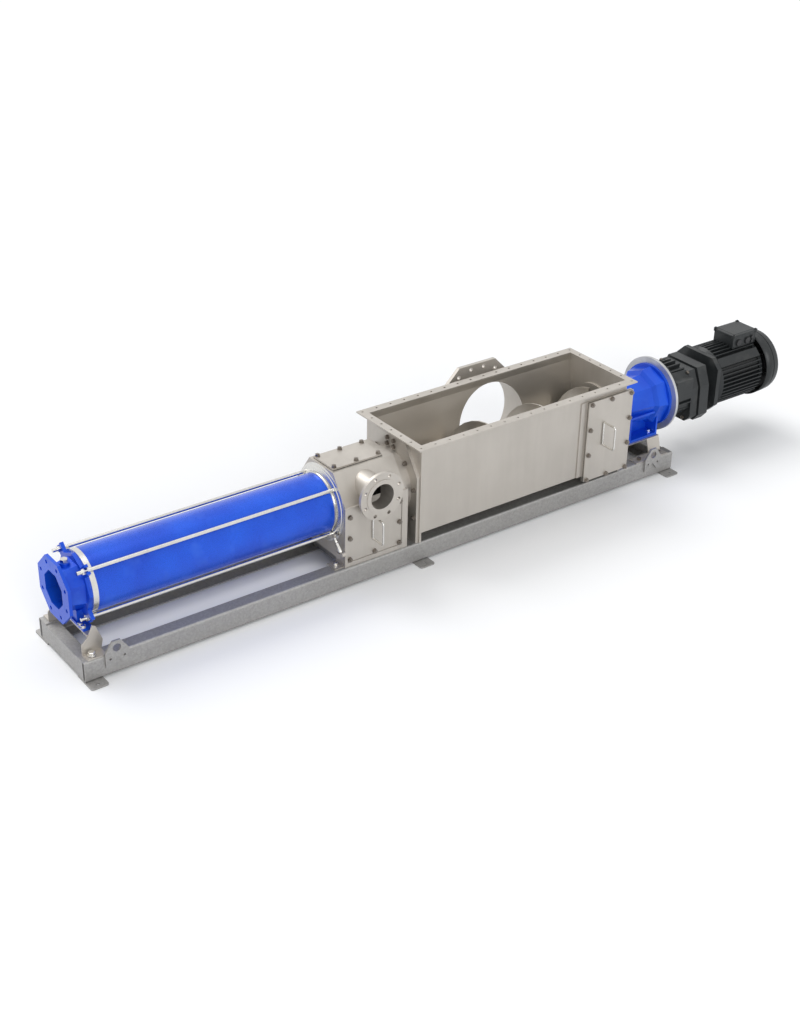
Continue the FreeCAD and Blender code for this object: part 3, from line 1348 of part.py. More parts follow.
RIB_ANGLES = [side * angle for side in (-1, 1) for angle in (14, 28, 104, 118, 132, 146, 160)] + [0, 180]
node("gearbox_housing", gearbox_housing())
node("gearbox_cover", gearbox_cover())

# Motor: adapter, shields, finned frame, shaft, fan, cowl, terminal box and blanking plugs.
shaft_bore = "motor_shaft_radius + running_gap"
shaft_pocket = "motor_shaft_front_at - 2"


def motor_adapter():
    neck = rod("adapter_neck", "x", ("cover_rear_at", 0, "axis_height"), "adapter_radius",
               "adapter_flange_at - cover_rear_at")
    half = "adapter_flange_half"
    flange = pad("adapter_flange", "x", "adapter_flange_at", "motor_front_at",
                 [chamfered_square(half, half, "adapter_flange_chamfer")])
    bore = rod("adapter_bore", "x", (shaft_pocket, 0, "axis_height"), shaft_bore,
               f"motor_front_at - ({shaft_pocket}) + 1")
    return cut("motor_adapter", joined("adapter_solid", [neck, flange]), [bore])


node("motor_adapter", motor_adapter())
shield_rear = "motor_front_at + motor_shield_thickness"
node("motor_front_shield", turned("motor_front_shield", [
    ("motor_front_at", shaft_bore), ("motor_front_at", "motor_shield_radius"),
    (shield_rear, "motor_fin_radius"), (shield_rear, shaft_bore)]))


def motor_frame():
    """The frame's tube with its cooling fins and the pad for the terminal box."""
    rear = "motor_frame_rear_at"
    core = rod("motor_core", "x", (shield_rear, 0, "axis_height"), "motor_core_radius",
               f"{rear} - ({shield_rear})")
    bar = block("motor_fin", (shield_rear, rear), ("-motor_fin_thickness / 2", "motor_fin_thickness / 2"),
                ("-motor_fin_radius", "motor_fin_radius"))
    pairs = int(size("motor_fin_count")) // 2
    fins = turned_copies("motor_fins", [bar],
                         [180 / pairs * (number + 0.5) for number in range(pairs)])
    panel = block("motor_panel", (shield_rear, rear),
                  ("-motor_panel_half_width", "motor_panel_half_width"), ("0", "motor_fin_radius"))
    panels = turned_copies("motor_panels", [panel], (45, -45))
    seat = block("box_seat", ("box_front_at + box_pad_margin", f"{rear}"),
                 ("box_pad_margin - box_half_width", "box_half_width - box_pad_margin"),
                 ("axis_height", "box_low_height"))
    bore = rod("motor_bore", "x", (f"{shield_rear} - 1", 0, "axis_height"), shaft_bore,
               f"{rear} - ({shield_rear}) + 2")
    box_room = block("box_room", ("box_front_at - box_gap", "box_rear_at + box_gap"),
                     ("-box_half_width - box_gap", "box_half_width + box_gap"),
                     ("box_low_height", "box_top_height"))
    return cut("motor_frame", joined("motor_frame_solid", [core, seat] + fins + panels), [bore, box_room])


def fan_cowl():
    front, rear, wall = "cowl_front_at", "cowl_rear_at", "cowl_wall"
    wide, narrow, crown = "cowl_front_radius", "cowl_rear_radius", "cowl_crown"
    groove, groove_end = "cowl_groove_at", "cowl_groove_at + cowl_groove_width"
    waist = f"({wide} + {narrow}) / 2"
    shell = turned("cowl_shell", [
        (front, f"{wide} - {wall}"), (front, wide), (groove, waist), (groove, f"{waist} - cowl_groove_depth"),
        (groove_end, f"{waist} - cowl_groove_depth"), (groove_end, waist), (f"{rear} - {crown}", narrow),
        (rear, "cowl_face_radius"), (rear, "0"), (f"{rear} - {wall}", "0"),
        (f"{rear} - {wall}", f"cowl_face_radius - {wall}"),
        (f"{rear} - {crown} - 1", f"{narrow} - 2 * {wall}"),
        (groove, f"{waist} - cowl_groove_depth - {wall}")])
    slot = block("cowl_slot", (f"{rear} - {wall} - 1", f"{rear} + 1"),
                 ("-cowl_slot_width / 2", "cowl_slot_width / 2"), ("cowl_slot_inner", "cowl_slot_outer"))
    count = int(size("cowl_slot_count"))
    slots = turned_copies("cowl_slots", [slot], [360 / count * number for number in range(count)])
    return cut("fan_cowl", shell, slots)


def fan():
    hub = turned("fan_hub", rectangle("fan_front_at", "fan_front_at + fan_width",
                                      "motor_shaft_radius + spigot_gap", "fan_hub_radius"))
    blade = block("fan_blade", ("fan_front_at", "fan_front_at + fan_width"),
                  ("-fan_blade_thickness / 2", "fan_blade_thickness / 2"),
                  ("fan_hub_radius - 4", "fan_radius"))
    count = int(size("fan_blade_count"))
    blades = turned_copies("fan_blades", [blade], [360 / count * number for number in range(count)])
    return joined("fan", [hub] + blades)


node("motor_frame", motor_frame())
node("motor_rear_shield", turned("motor_rear_shield", [
    ("motor_frame_rear_at", shaft_bore), ("motor_frame_rear_at", "rear_shield_radius"),
    ("cowl_front_at", "rear_shield_radius"), ("cowl_front_at", shaft_bore)]))
node("motor_shaft", turned("motor_shaft", rectangle(
    "motor_shaft_front_at", "fan_front_at + fan_width", 0, "motor_shaft_radius")))
node("fan", fan())
node("fan_cowl", fan_cowl())
box_span = ("box_front_at", "box_rear_at"), ("-box_half_width", "box_half_width")
node("terminal_box", block("terminal_box", *box_span, ("box_low_height", "box_lid_height")))
node("terminal_box_lid", block("terminal_box_lid", *box_span, ("box_lid_height", "box_top_height")))
PLUGS = ((51, 34, 40), (131, 34, 40), (172, 50, 20), (172, 22, 20))
node("blanking_plugs", group("blanking_plugs", [
    regular_prism(f"blanking_plug_{number}", 6, "y",
                  (f"box_front_at + {along}", "-box_half_width - 10", f"box_low_height + {up}"), flats, 10)
    for number, (along, up, flats) in enumerate(PLUGS)]))

doc.recompute()
for item in doc.Objects:
    if "Invalid" in item.State or "Error" in item.State:
        raise RuntimeError(f"{item.Label} did not build: {item.State}")
for name, item in NODES.items():
    shape = item.Shape
    if shape.isNull() or not shape.isValid() or not shape.Solids:
        raise RuntimeError(f"{name} is not a valid solid")
    shape.exportStep(f"parts/{name}.step")
    box = shape.BoundBox
    print(f"{name}: {len(shape.Solids)} solids, X {box.XMin:.1f} to {box.XMax:.1f}, "
          f"Y {box.YMin:.1f} to {box.YMax:.1f}, Z {box.ZMin:.1f} to {box.ZMax:.1f}, "
          f"volume {shape.Volume / 1e6:.2f}")
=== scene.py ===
# %% [markdown]
# A progressive cavity pump stands on a galvanised base frame: stainless hopper and chamber, blue
# outlet casing, stator and lantern, and a dark geared motor. The solids come from the CAD frame
# with their places in their meshes. This lesson gives each of them a finish, and adds the small
# fasteners and fittings that are seen on the real pump. Blender counts in metres and the drawing
# of the pump in millimetres, so MM turns one into the other. AXIS is the height of the shaft.

# %% Load the frame
import json
import math
import bmesh
import bpy
from mathutils import Matrix, Vector


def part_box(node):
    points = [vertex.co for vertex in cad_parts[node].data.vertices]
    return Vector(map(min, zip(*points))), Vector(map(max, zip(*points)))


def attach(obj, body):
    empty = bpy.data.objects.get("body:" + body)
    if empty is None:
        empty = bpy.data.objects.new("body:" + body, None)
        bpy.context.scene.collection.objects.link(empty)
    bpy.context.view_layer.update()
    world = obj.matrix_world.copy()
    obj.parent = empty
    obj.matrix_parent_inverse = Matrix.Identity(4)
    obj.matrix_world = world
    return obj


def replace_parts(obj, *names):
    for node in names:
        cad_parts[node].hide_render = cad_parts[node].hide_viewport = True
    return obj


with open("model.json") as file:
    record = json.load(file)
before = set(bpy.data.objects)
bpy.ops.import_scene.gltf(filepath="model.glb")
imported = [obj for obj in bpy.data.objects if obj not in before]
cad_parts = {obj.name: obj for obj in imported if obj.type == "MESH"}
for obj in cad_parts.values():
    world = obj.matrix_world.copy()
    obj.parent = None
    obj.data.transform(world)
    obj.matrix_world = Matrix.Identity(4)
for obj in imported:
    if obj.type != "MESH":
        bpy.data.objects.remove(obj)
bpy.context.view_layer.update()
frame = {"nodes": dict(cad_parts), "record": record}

MM = 0.001
AXIS = 434
scene = bpy.context.scene

# %% [markdown]
# The photograph was taken from the outlet end, from above and from the near side. Its camera was
# solved from the rails and the flanges. The place is in metres and the angles are in degrees. An
# empty could be tracked instead, but three directions, one for each axis of the camera, also give
# the small roll.

# %% Camera
CAMERA_PLACE = Vector((-4.7353, -6.4291, 4.7113))
YAW, PITCH, ROLL = (math.radians(angle) for angle in (36.92947, 29.38365, 1.19097))
LENS, SENSOR = 55.886, 36.0

ahead = Vector((math.sin(YAW), math.cos(YAW), 0))
forward = ahead * math.cos(PITCH) - Vector((0, 0, math.sin(PITCH)))
level = Vector((math.cos(YAW), -math.sin(YAW), 0))
raised = level.cross(forward)
right = level * math.cos(ROLL) + raised * math.sin(ROLL)
up = raised * math.cos(ROLL) - level * math.sin(ROLL)
camera = bpy.data.objects.new("camera", bpy.data.cameras.new("camera"))
scene.collection.objects.link(camera)
turned = Matrix((right, up, -forward)).transposed().to_4x4()
camera.matrix_world = Matrix.Translation(CAMERA_PLACE) @ turned
camera.data.lens = LENS
camera.data.sensor_width = SENSOR
camera.data.clip_end = 100
scene.camera = camera
reach = (CAMERA_PLACE - Vector((0, 0, AXIS * MM))).length
print(f"camera {reach:.2f} m from the middle of the pump")

# %% [markdown]
# The pump was cut out on white. Where a camera ray, a mirror ray or a ray through glass meets the
# world, it sees plain white, so metal shows a white studio too. The light that falls on the pump
# stays at its own level, which a brighter world would spoil.

# %% World
scene.view_settings.view_transform = "Standard"
AMBIENT_COLOR, AMBIENT_STRENGTH = (0.95, 0.97, 1.0, 1), 0.62


def tree_of(owner):
    """The empty node tree of a material or a world."""
    owner.use_nodes = True
    owner.node_tree.nodes.clear()
    return owner.node_tree


def white_to_the_eye(tree, shader):
    """Mix a shader with plain white for the rays that only look."""
    path = tree.nodes.new("ShaderNodeLightPath")
    seen = path.outputs["Is Camera Ray"]
    for ray in ("Is Glossy Ray", "Is Transmission Ray"):
        either = tree.nodes.new("ShaderNodeMath")
        either.operation = "MAXIMUM"
        tree.links.new(seen, either.inputs[0])
        tree.links.new(path.outputs[ray], either.inputs[1])
        seen = either.outputs[0]
    white = tree.nodes.new("ShaderNodeBackground")
    white.inputs["Color"].default_value = (1, 1, 1, 1)
    white.inputs["Strength"].default_value = 1.0
    mix = tree.nodes.new("ShaderNodeMixShader")
    tree.links.new(seen, mix.inputs[0])
    tree.links.new(shader.outputs[0], mix.inputs[1])
    tree.links.new(white.outputs[0], mix.inputs[2])
    return mix


scene.world = bpy.data.worlds.new("studio")
world_tree = tree_of(scene.world)
ambient = world_tree.nodes.new("ShaderNodeBackground")
ambient.inputs["Color"].default_value = AMBIENT_COLOR
ambient.inputs["Strength"].default_value = AMBIENT_STRENGTH
sky = white_to_the_eye(world_tree, ambient)
world_out = world_tree.nodes.new("ShaderNodeOutputWorld")
world_tree.links.new(sky.outputs[0], world_out.inputs["Surface"])
print("a world that looks white and lights softly")

# %% [markdown]
# The floor takes the soft shadow under the pump and on its near side. Its colour is chosen so that
# the light outside the shadow makes it just white, with no edge against the world.

# %% Floor
FLOOR_SIZE, FLOOR_DROP, FLOOR_COLOR = 60, 1 * MM, (0.88, 0.88, 0.88, 1)
bpy.ops.object.select_all(action="DESELECT")
bpy.ops.mesh.primitive_plane_add(size=FLOOR_SIZE, location=(0, 0, -FLOOR_DROP))
floor = bpy.context.object
floor.name = "floor"
floor_finish = bpy.data.materials.new("pale floor")
floor_tree = tree_of(floor_finish)
floor_shader = floor_tree.nodes.new("ShaderNodeBsdfDiffuse")
floor_shader.inputs["Color"].default_value = FLOOR_COLOR
floor_out = floor_tree.nodes.new("ShaderNodeOutputMaterial")
floor_tree.links.new(floor_shader.outputs[0], floor_out.inputs["Surface"])
floor.data.materials.append(floor_finish)
print(f"a floor of {FLOOR_SIZE} m")

# %% [markdown]
# In the photograph the shadow falls towards the camera, so one wide sun stands behind the pump and
# one overhead. A third sun lights the near side, which would be dull without it. The wider a sun
# is, the softer is the edge of its shadow.

# %% Lamps


def sun(name, toward, strength, width):
    """A light that shines in a direction, with a width in degrees that softens its shadow."""
    data = bpy.data.lights.new(name, "SUN")
    data.energy = strength
    data.angle = math.radians(width)
    item = bpy.data.objects.new(name, data)
    scene.collection.objects.link(item)
    item.rotation_euler = Vector(toward).to_track_quat("-Z", "Y").to_euler()


sun("key", (0.22, -0.78, -1.0), 1.0, 30)
sun("overhead", (0.08, -0.2, -1.0), 0.7, 50)
sun("near side", (0.25, 0.95, -0.45), 1.0, 30)
print("three wide suns")

# %% [markdown]
# Finishes are built from nodes. They could be wired one by one, but the recipe is then lost among
# links. A small class wraps a socket instead, so that shader arithmetic reads as plain Python: a
# sum of two values adds a Math node, and 1 - mask works too. Every pattern reads Object
# coordinates, which are metres on this pump, so a scale of 100 is a grain of a centimetre.

# %% Values that vary


class Value:
    """A number that varies over a surface."""

    def __init__(self, finish, socket):
        self.finish = finish
        self.socket = socket

    def joined(self, operation, first, second):
        sockets = {0: first, 1: second}
        node = self.finish.node("ShaderNodeMath", {"operation": operation}, sockets)
        return Value(self.finish, node.outputs[0])

    def __add__(self, other):
        return self.joined("ADD", self, other)

    def __sub__(self, other):
        return self.joined("SUBTRACT", self, other)

    def __rsub__(self, other):
        return self.joined("SUBTRACT", other, self)

    def __mul__(self, other):
        return self.joined("MULTIPLY", self, other)

    def above(self, edge, soft):
        """Nothing below an edge and all above it, with a soft step between."""
        settings = {"interpolation_type": "SMOOTHSTEP"}
        sockets = {0: self, 1: edge - soft, 2: edge + soft}
        node = self.finish.node("ShaderNodeMapRange", settings, sockets)
        return Value(self.finish, node.outputs[0])

    __radd__ = __add__
    __rmul__ = __mul__


print("values can be added, subtracted and multiplied")

# %% [markdown]
# A finish owns one material, with the principled shader and the patterns that its surface shows.
# Noise is clouds, dust or grain, stretched noise is brush lines, and cells are crystals of zinc.
# What varies goes only into the colour, the roughness and the bump, which a bake can keep.

# %% A finish and its patterns


class Finish:
    """One material, with methods for the patterns that its surface shows."""

    COAT_ROUGHNESS = 0.18

    def __init__(self, name, roughness, metallic=0.0, coat=0.0):
        self.material = bpy.data.materials.new(name)
        self.tree = tree_of(self.material)
        self.shader = self.node("ShaderNodeBsdfPrincipled")
        self.shader.inputs["Roughness"].default_value = roughness
        self.shader.inputs["Metallic"].default_value = metallic
        self.shader.inputs["Coat Weight"].default_value = coat
        self.shader.inputs["Coat Roughness"].default_value = self.COAT_ROUGHNESS
        ending = self.node("ShaderNodeOutputMaterial")
        self.tree.links.new(self.shader.outputs[0], ending.inputs["Surface"])
        self.place = self.node("ShaderNodeTexCoord").outputs["Object"]

    def node(self, kind, settings=None, sockets=None):
        node = self.tree.nodes.new(kind)
        for word, value in (settings or {}).items():
            setattr(node, word, value)
        for word, value in (sockets or {}).items():
            source = value.socket if isinstance(value, Value) else value
            if isinstance(source, bpy.types.NodeSocket):
                self.tree.links.new(source, node.inputs[word])
            else:
                node.inputs[word].default_value = source
        return node

    def stretched(self, scale):
        """Object coordinates for streaks, which run along the axes with a small scale."""
        node = self.node("ShaderNodeMapping", None, {"Vector": self.place, "Scale": scale})
        return node.outputs[0]

    def noise(self, scale, detail=3.0, place=None):
        sockets = {"Vector": place or self.place, "Scale": scale, "Detail": detail}
        return Value(self, self.node("ShaderNodeTexNoise", None, sockets).outputs[0])

    def cells(self, scale, output="Color"):
        sockets = {"Vector": self.place, "Scale": scale}
        return Value(self, self.node("ShaderNodeTexVoronoi", None, sockets).outputs[output])

    def tint(self, amount, low, high):
        """A colour between two, by a varying amount. Inputs 6 and 7 of the node are its colours."""
        low, high = (color if isinstance(color, bpy.types.NodeSocket) else (*color, 1)
                     for color in (low, high))
        node = self.node("ShaderNodeMix", {"data_type": "RGBA"}, {0: amount, 6: low, 7: high})
        return node.outputs[2]

    def color(self, socket):
        self.tree.links.new(socket, self.shader.inputs["Base Color"])

    def roughness(self, value):
        self.tree.links.new(value.socket, self.shader.inputs["Roughness"])

    def bump(self, value, depth):
        """A height in metres for each unit of the value."""
        sockets = {"Height": value, "Distance": depth, "Strength": 1.0}
        node = self.node("ShaderNodeBump", None, sockets)
        self.tree.links.new(node.outputs[0], self.shader.inputs["Normal"])


finishes = {}
print("a finish can be noisy, streaked or crystalline")

# %% [markdown]
# Hot-dip galvanising freezes into flat crystals, about a centimetre across, each with its own
# grey. A Voronoi texture has such cells, so two sizes of it are added, and a slow noise gives the
# cloudy patches. The crystals also differ in how much they shine.

# %% Galvanised steel
ZINC_DARK, ZINC_PALE = (0.28, 0.275, 0.265), (0.46, 0.45, 0.44)


def galvanised():
    finish = Finish("galvanised_steel", 0.5, 0.75)
    crystals = finish.cells(90) * 0.5 + finish.cells(210) * 0.3
    clouds = finish.noise(5, 4)
    shade = crystals + clouds * 0.4
    finish.color(finish.tint(shade.above(0.6, 0.8), ZINC_DARK, ZINC_PALE))
    finish.roughness(0.36 + finish.cells(90, "Distance") * 0.16 + clouds * 0.1)
    finish.bump(clouds + crystals * 0.3, 0.3 * MM)
    return finish.material


finishes["galvanised_steel"] = galvanised()
print("galvanised steel")

# %% [markdown]
# The hopper and the chamber are welded from stainless sheet and then blasted with glass beads, so
# they are warm grey and nearly dull. Handling and rolling leave soft vertical streaks and clouds.
# One recipe with other colours and scales serves the rolled trough, the drawn bars and the nuts,
# whose dark colours are painted shade.

# %% Stainless steel


def stainless(name, dark, pale, roughness, streak_scale, metallic):
    finish = Finish(name, roughness, metallic)
    streaks = finish.noise(1.0, 5, finish.stretched(streak_scale))
    clouds = finish.noise(3.2, 4)
    shade = streaks * 0.4 + clouds * 0.6
    finish.color(finish.tint(shade.above(0.5, 0.3), dark, pale))
    finish.roughness(roughness - 0.07 + streaks * 0.14 + clouds * 0.06)
    finish.bump(finish.noise(900, 2) * 0.4 + streaks * 0.4, 0.25 * MM)
    return finish.material


BLASTED = (0.46, 0.43, 0.39), (0.545, 0.512, 0.468)
ROLLED = (0.50, 0.465, 0.42), (0.58, 0.55, 0.50)
DRAWN = (0.58, 0.57, 0.54), (0.74, 0.73, 0.70)
# The nuts' dark colours are painted shade: they stand in for the shadows on the nuts and in their
# holes.
NUT_PAINTED_SHADE = (0.16, 0.14, 0.12), (0.34, 0.31, 0.28)
for name, colors, roughness, streak_scale, metallic in (
        ("stainless_steel", BLASTED, 0.42, (22, 22, 3), 0.8),
        ("trough_sheet", ROLLED, 0.32, (2, 7, 7), 0.9),
        ("bright_steel", DRAWN, 0.2, (60, 60, 60), 1.0),
        ("dark_fastener", NUT_PAINTED_SHADE, 0.3, (60, 60, 60), 1.0)):
    finishes[name] = stainless(name, *colors, roughness, streak_scale, metallic)
print("blasted sheet, rolled sheet, bright bar and dark nuts")

# %% [markdown]
# Castings are dipped in thick enamel. The blue is strong and half glossy: a thin clear coat over
# a deep colour that is a little metallic gives that look. The sand of the mould shows through as
# a fine grain, and dust settles in pale clouds. The drawn tube has a finer grain than castings.

# %% Enamels


def enamel(name, deep, bright, dusty, roughness, grain, depth, coat, metallic):
    finish = Finish(name, roughness, metallic, coat)
    finish.shader.inputs["Specular IOR Level"].default_value = 0.3
    sand = finish.noise(grain, 3)
    clouds = finish.noise(4, 5)
    painted = finish.tint(clouds.above(0.5, 0.3), deep, bright)
    dust = finish.noise(11, 6).above(0.66, 0.12) * 0.35
    finish.color(finish.tint(dust, painted, dusty))
    finish.roughness(roughness - 0.06 + sand * 0.12 + dust * 0.5)
    finish.bump(sand + clouds * 0.5, depth)
    return finish.material


BLUE = (0.004, 0.055, 0.52), (0.008, 0.100, 0.70), (0.05, 0.16, 0.66)
GREY = (0.013, 0.015, 0.016), (0.024, 0.027, 0.028), (0.075, 0.075, 0.07)
for name, colors, roughness, grain, depth, coat, metallic in (
        ("blue_paint", BLUE, 0.34, 160, 0.5 * MM, 0.2, 0.3),
        ("tube_paint", BLUE, 0.28, 420, 0.1 * MM, 0.3, 0.35),
        ("dark_grey_paint", GREY, 0.45, 220, 0.5 * MM, 0.15, 0.0)):
    finishes[name] = enamel(name, *colors, roughness, grain, depth, coat, metallic)
print("blue and dark grey enamel")

# %% [markdown]
# Four more finishes share one recipe, because none of them has a pattern of its own: the silver
# cast ring, the rubber of the lining and the gaskets, the chrome of the rotor, and black plastic.
# Clouds and a grain keep them from looking like a flat colour.

# %% Ring, rubber, chrome and plastic


def plain(name, dark, pale, roughness, metallic, grain, depth):
    finish = Finish(name, roughness, metallic)
    clouds = finish.noise(9, 4)
    finish.color(finish.tint(clouds.above(0.5, 0.25), dark, pale))
    finish.roughness(roughness - 0.05 + clouds * 0.1)
    finish.bump(finish.noise(grain, 3) + clouds * 0.3, depth)
    return finish.material


SILVER = (0.44, 0.445, 0.45), (0.60, 0.605, 0.61)
RUBBER = (0.012, 0.012, 0.012), (0.03, 0.03, 0.03)
CHROME = (0.62, 0.63, 0.65), (0.74, 0.75, 0.77)
PLASTIC = (0.014, 0.014, 0.015), (0.028, 0.028, 0.03)
for name, colors, roughness, metallic, grain, depth in (
        ("silver_casting", SILVER, 0.40, 0.7, 300, 0.2 * MM),
        ("black_rubber", RUBBER, 0.7, 0.0, 500, 0.2 * MM),
        ("hard_chrome", CHROME, 0.10, 1.0, 60, 0.03 * MM),
        ("black_plastic", PLASTIC, 0.5, 0.0, 350, 0.2 * MM)):
    finishes[name] = plain(name, *colors, roughness, metallic, grain, depth)
print(", ".join(finishes))

# %% [markdown]
# Each CAD solid takes the finish of its slot in the record, so a loop dresses them all. A few
# take a closer match, as the photograph shows: the rolled trough is smoother than the outside
# sheets, the drawn tube is smoother than the castings, and the nuts are darker than the bars, a
# darkness that is painted shade for the shadow on them and in their holes.

# %% Dress the solids
CLOSER = {"hopper_trough": "trough_sheet", "auger": "trough_sheet", "stator_tube": "tube_paint",
          "tie_rods": "bright_steel", "tie_rod_nuts": "bright_steel",
          "stator_end_ring": "bright_steel", "side_cover_handle": "bright_steel",
          "inspection_handle": "bright_steel", "cover_nuts": "dark_fastener",
          "frame_bolts": "dark_fastener"}
slots = {part["node"]: part["material_slot"] for part in frame["record"]["subparts"]}
for name, item in frame["nodes"].items():
    item.data.materials.clear()
    item.data.materials.append(finishes[CLOSER.get(name, slots[name])])
print(f"{len(frame['nodes'])} solids dressed")

# %% [markdown]
# The rest is modelled here as by hand: small fasteners, fittings and turned covers. Operators act
# on all that is selected, so one helper opens an object alone, and another picks points or faces
# by their place. The last one turns all faces outwards and leaves sharp edges sharp.

# %% Edit mode


def edit(item):
    """Open one object in edit mode, with its points selectable."""
    bpy.ops.object.select_all(action="DESELECT")
    item.select_set(True)
    bpy.context.view_layer.objects.active = item
    bpy.ops.object.mode_set(mode="EDIT")
    bpy.ops.mesh.select_mode(type="VERT")


def pick(item, test, kind="VERT"):
    """Select the faces or the points of the mesh in edit mode that pass a test on their place."""
    bpy.ops.mesh.select_all(action="DESELECT")
    bpy.ops.mesh.select_mode(type=kind)
    mesh = bmesh.from_edit_mesh(item.data)
    chosen = mesh.faces if kind == "FACE" else mesh.verts
    for part in chosen:
        place = part.calc_center_median() if kind == "FACE" else part.co
        part.select_set(test(place))
    mesh.select_flush_mode()
    bmesh.update_edit_mesh(item.data)


def leave_edit(angle=35):
    """Turn all faces outwards, and shade as smooth what bends less than an angle in degrees."""
    bpy.ops.mesh.select_all(action="SELECT")
    bpy.ops.mesh.normals_make_consistent(inside=False)
    bpy.ops.object.mode_set(mode="OBJECT")
    bpy.ops.object.shade_smooth_by_angle(angle=math.radians(angle))


print("helpers for edit mode")

# %% [markdown]
# Each thing is modelled once, as a master at the origin that points along +Z, and then copied. A
# copy could be turned and moved as an object, but a pattern on Object coordinates would turn with
# it. So the turn and the place go into its mesh, and every piece stands at the origin like a CAD
# solid. Places are in millimetres.

# %% Masters and copies
UP = Vector((0, 0, 1))
masters = []


def master(name):
    """Name the object just made, put its place into its mesh, and note it for removal at the end."""
    item = bpy.context.object
    item.name = name
    bpy.ops.object.transform_apply()
    masters.append(item)
    return item


def copy_of(item, name, place, toward, body, finish, size=1.0):
    """A copy with its own mesh, its +Z turned to a direction, which rides on a body."""
    mesh = item.data.copy()
    turn = UP.rotation_difference(Vector(toward)).to_matrix().to_4x4()
    mesh.transform(Matrix.Translation(Vector(place) * MM) @ turn @ Matrix.Scale(size, 4))
    mesh.materials.clear()
    mesh.materials.append(finishes[finish])
    piece = bpy.data.objects.new(name, mesh)
    scene.collection.objects.link(piece)
    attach(piece, body)
    return piece


print("helpers for masters and copies")

# %% [markdown]
# Three fasteners. The first is the washer and the stud's end that go with a nut of the CAD model.
# The second is a whole hexagon bolt with its washer. The third is a socket screw for the lid. A
# real bolt's head is chamfered by turning: here its top is inset and lifted, which looks the same.

# %% Fasteners
NUT_HEIGHT = 13 * MM
WASHER_RADIUS, WASHER_DEPTH, STUD_RADIUS, STUD_RISE = 14.6 * MM, 2.2 * MM, 6.4 * MM, 4 * MM
BASE_RADIUS, BASE_DEPTH, HEAD_RADIUS, HEAD_DEPTH = 15.5 * MM, 2.6 * MM, 13 * MM, 9 * MM
SCREW_RADIUS, SCREW_DEPTH, SOCKET_DEPTH = 6.5 * MM, 5 * MM, 3 * MM
HAIR = 0.1 * MM


def disc(sides, radius, depth, low, across=(0, 0)):
    """A closed disc on a height, made as a new object or inside the one being edited."""
    middle = (*across, low + depth / 2)
    bpy.ops.mesh.primitive_cylinder_add(vertices=sides, radius=radius, depth=depth, location=middle)


def bevel_top(item, height, offset):
    """Soften the edges round the top, which are all that is as high as a height."""
    pick(item, lambda place: place.z > height - HAIR)
    bpy.ops.mesh.bevel(offset=offset, segments=2, affect="EDGES")


def washer_and_stud():
    disc(28, WASHER_RADIUS, WASHER_DEPTH, 0)
    item = master("washer and stud")
    edit(item)
    bevel_top(item, WASHER_DEPTH, 0.6 * MM)
    bpy.ops.mesh.select_all(action="DESELECT")
    disc(16, STUD_RADIUS, NUT_HEIGHT + STUD_RISE, 0)
    bevel_top(item, NUT_HEIGHT + STUD_RISE, 1.6 * MM)
    leave_edit()
    return item


def hexagon_bolt():
    disc(28, BASE_RADIUS, BASE_DEPTH, 0)
    item = master("hexagon bolt")
    edit(item)
    bevel_top(item, BASE_DEPTH, 0.7 * MM)
    bpy.ops.mesh.select_all(action="DESELECT")
    disc(6, HEAD_RADIUS, HEAD_DEPTH, BASE_DEPTH)
    pick(item, lambda place: place.z > BASE_DEPTH + HEAD_DEPTH - HAIR, "FACE")
    bpy.ops.mesh.inset(thickness=2.2 * MM)
    bpy.ops.transform.translate(value=(0, 0, 1.2 * MM))
    leave_edit(25)
    return item


def socket_screw():
    disc(20, SCREW_RADIUS, SCREW_DEPTH, 0)
    item = master("socket screw")
    edit(item)
    pick(item, lambda place: place.z > SCREW_DEPTH - HAIR, "FACE")
    bpy.ops.mesh.inset(thickness=1.2 * MM)
    bpy.ops.mesh.inset(thickness=1.8 * MM)
    bpy.ops.transform.translate(value=(0, 0, -SOCKET_DEPTH))
    leave_edit()
    return item


stud, bolt, screw = washer_and_stud(), hexagon_bolt(), socket_screw()
print("three fasteners")

# %% [markdown]
# Studs go through the nuts of the three covers and of the joint plate. Their places are the same
# even steps round each cover that the CAD model uses, in millimetres. A list of places and one
# loop put them there, so a change of a cover's size is a change of two numbers.

# %% Studs of the covers
SIDE_FACE, TOP_FACE, INSPECTION_FACE = -243, 673, -285


def steps_round(front, rear, low, high, across_steps, up_steps):
    """Places at even steps on the four sides of a rectangle, each corner once."""
    spots = []
    for step in range(across_steps + 1):
        along = front + (rear - front) * step / across_steps
        spots += [(along, low), (along, high)]
    for step in range(1, up_steps):
        rise = low + (high - low) * step / up_steps
        spots += [(front, rise), (rear, rise)]
    return spots


SIDE_COVER = [(x, SIDE_FACE, z) for x, z in steps_round(-426, -90, 171, 437, 2, 2)]
TOP_COVER = [(x, y, TOP_FACE) for x, y in steps_round(-419, -124, -80, 80, 2, 1)]
INSPECTION = [(x, INSPECTION_FACE, z) for x, z in steps_round(1288, 1604, 168, 669, 2, 3)]
JOINT_CORNERS = (30, 218), (30, 254), (143, 161), (227, 26), (229, -147)
JOINT = [(22, side * y, AXIS + z) for y, z in JOINT_CORNERS for side in (-1, 1)]
for word, places, toward in (
        ("side_cover", SIDE_COVER, (0, -1, 0)), ("top_cover", TOP_COVER, UP),
        ("inspection", INSPECTION, (0, -1, 0)), ("joint", JOINT, (-1, 0, 0))):
    for number, place in enumerate(places):
        name = f"{word}_stud_{number}"
        # The dark finish of the studs is painted shade.
        copy_of(stud, name, place, toward, "base", "dark_fastener")
print(f"{len(SIDE_COVER + TOP_COVER + INSPECTION + JOINT)} studs")

# %% [markdown]
# Whole bolts hold the foot of the outlet casing on its saddle, the foot of the lantern, and the
# brackets of the chamber on the rails. Socket screws hold the lid of the terminal box.

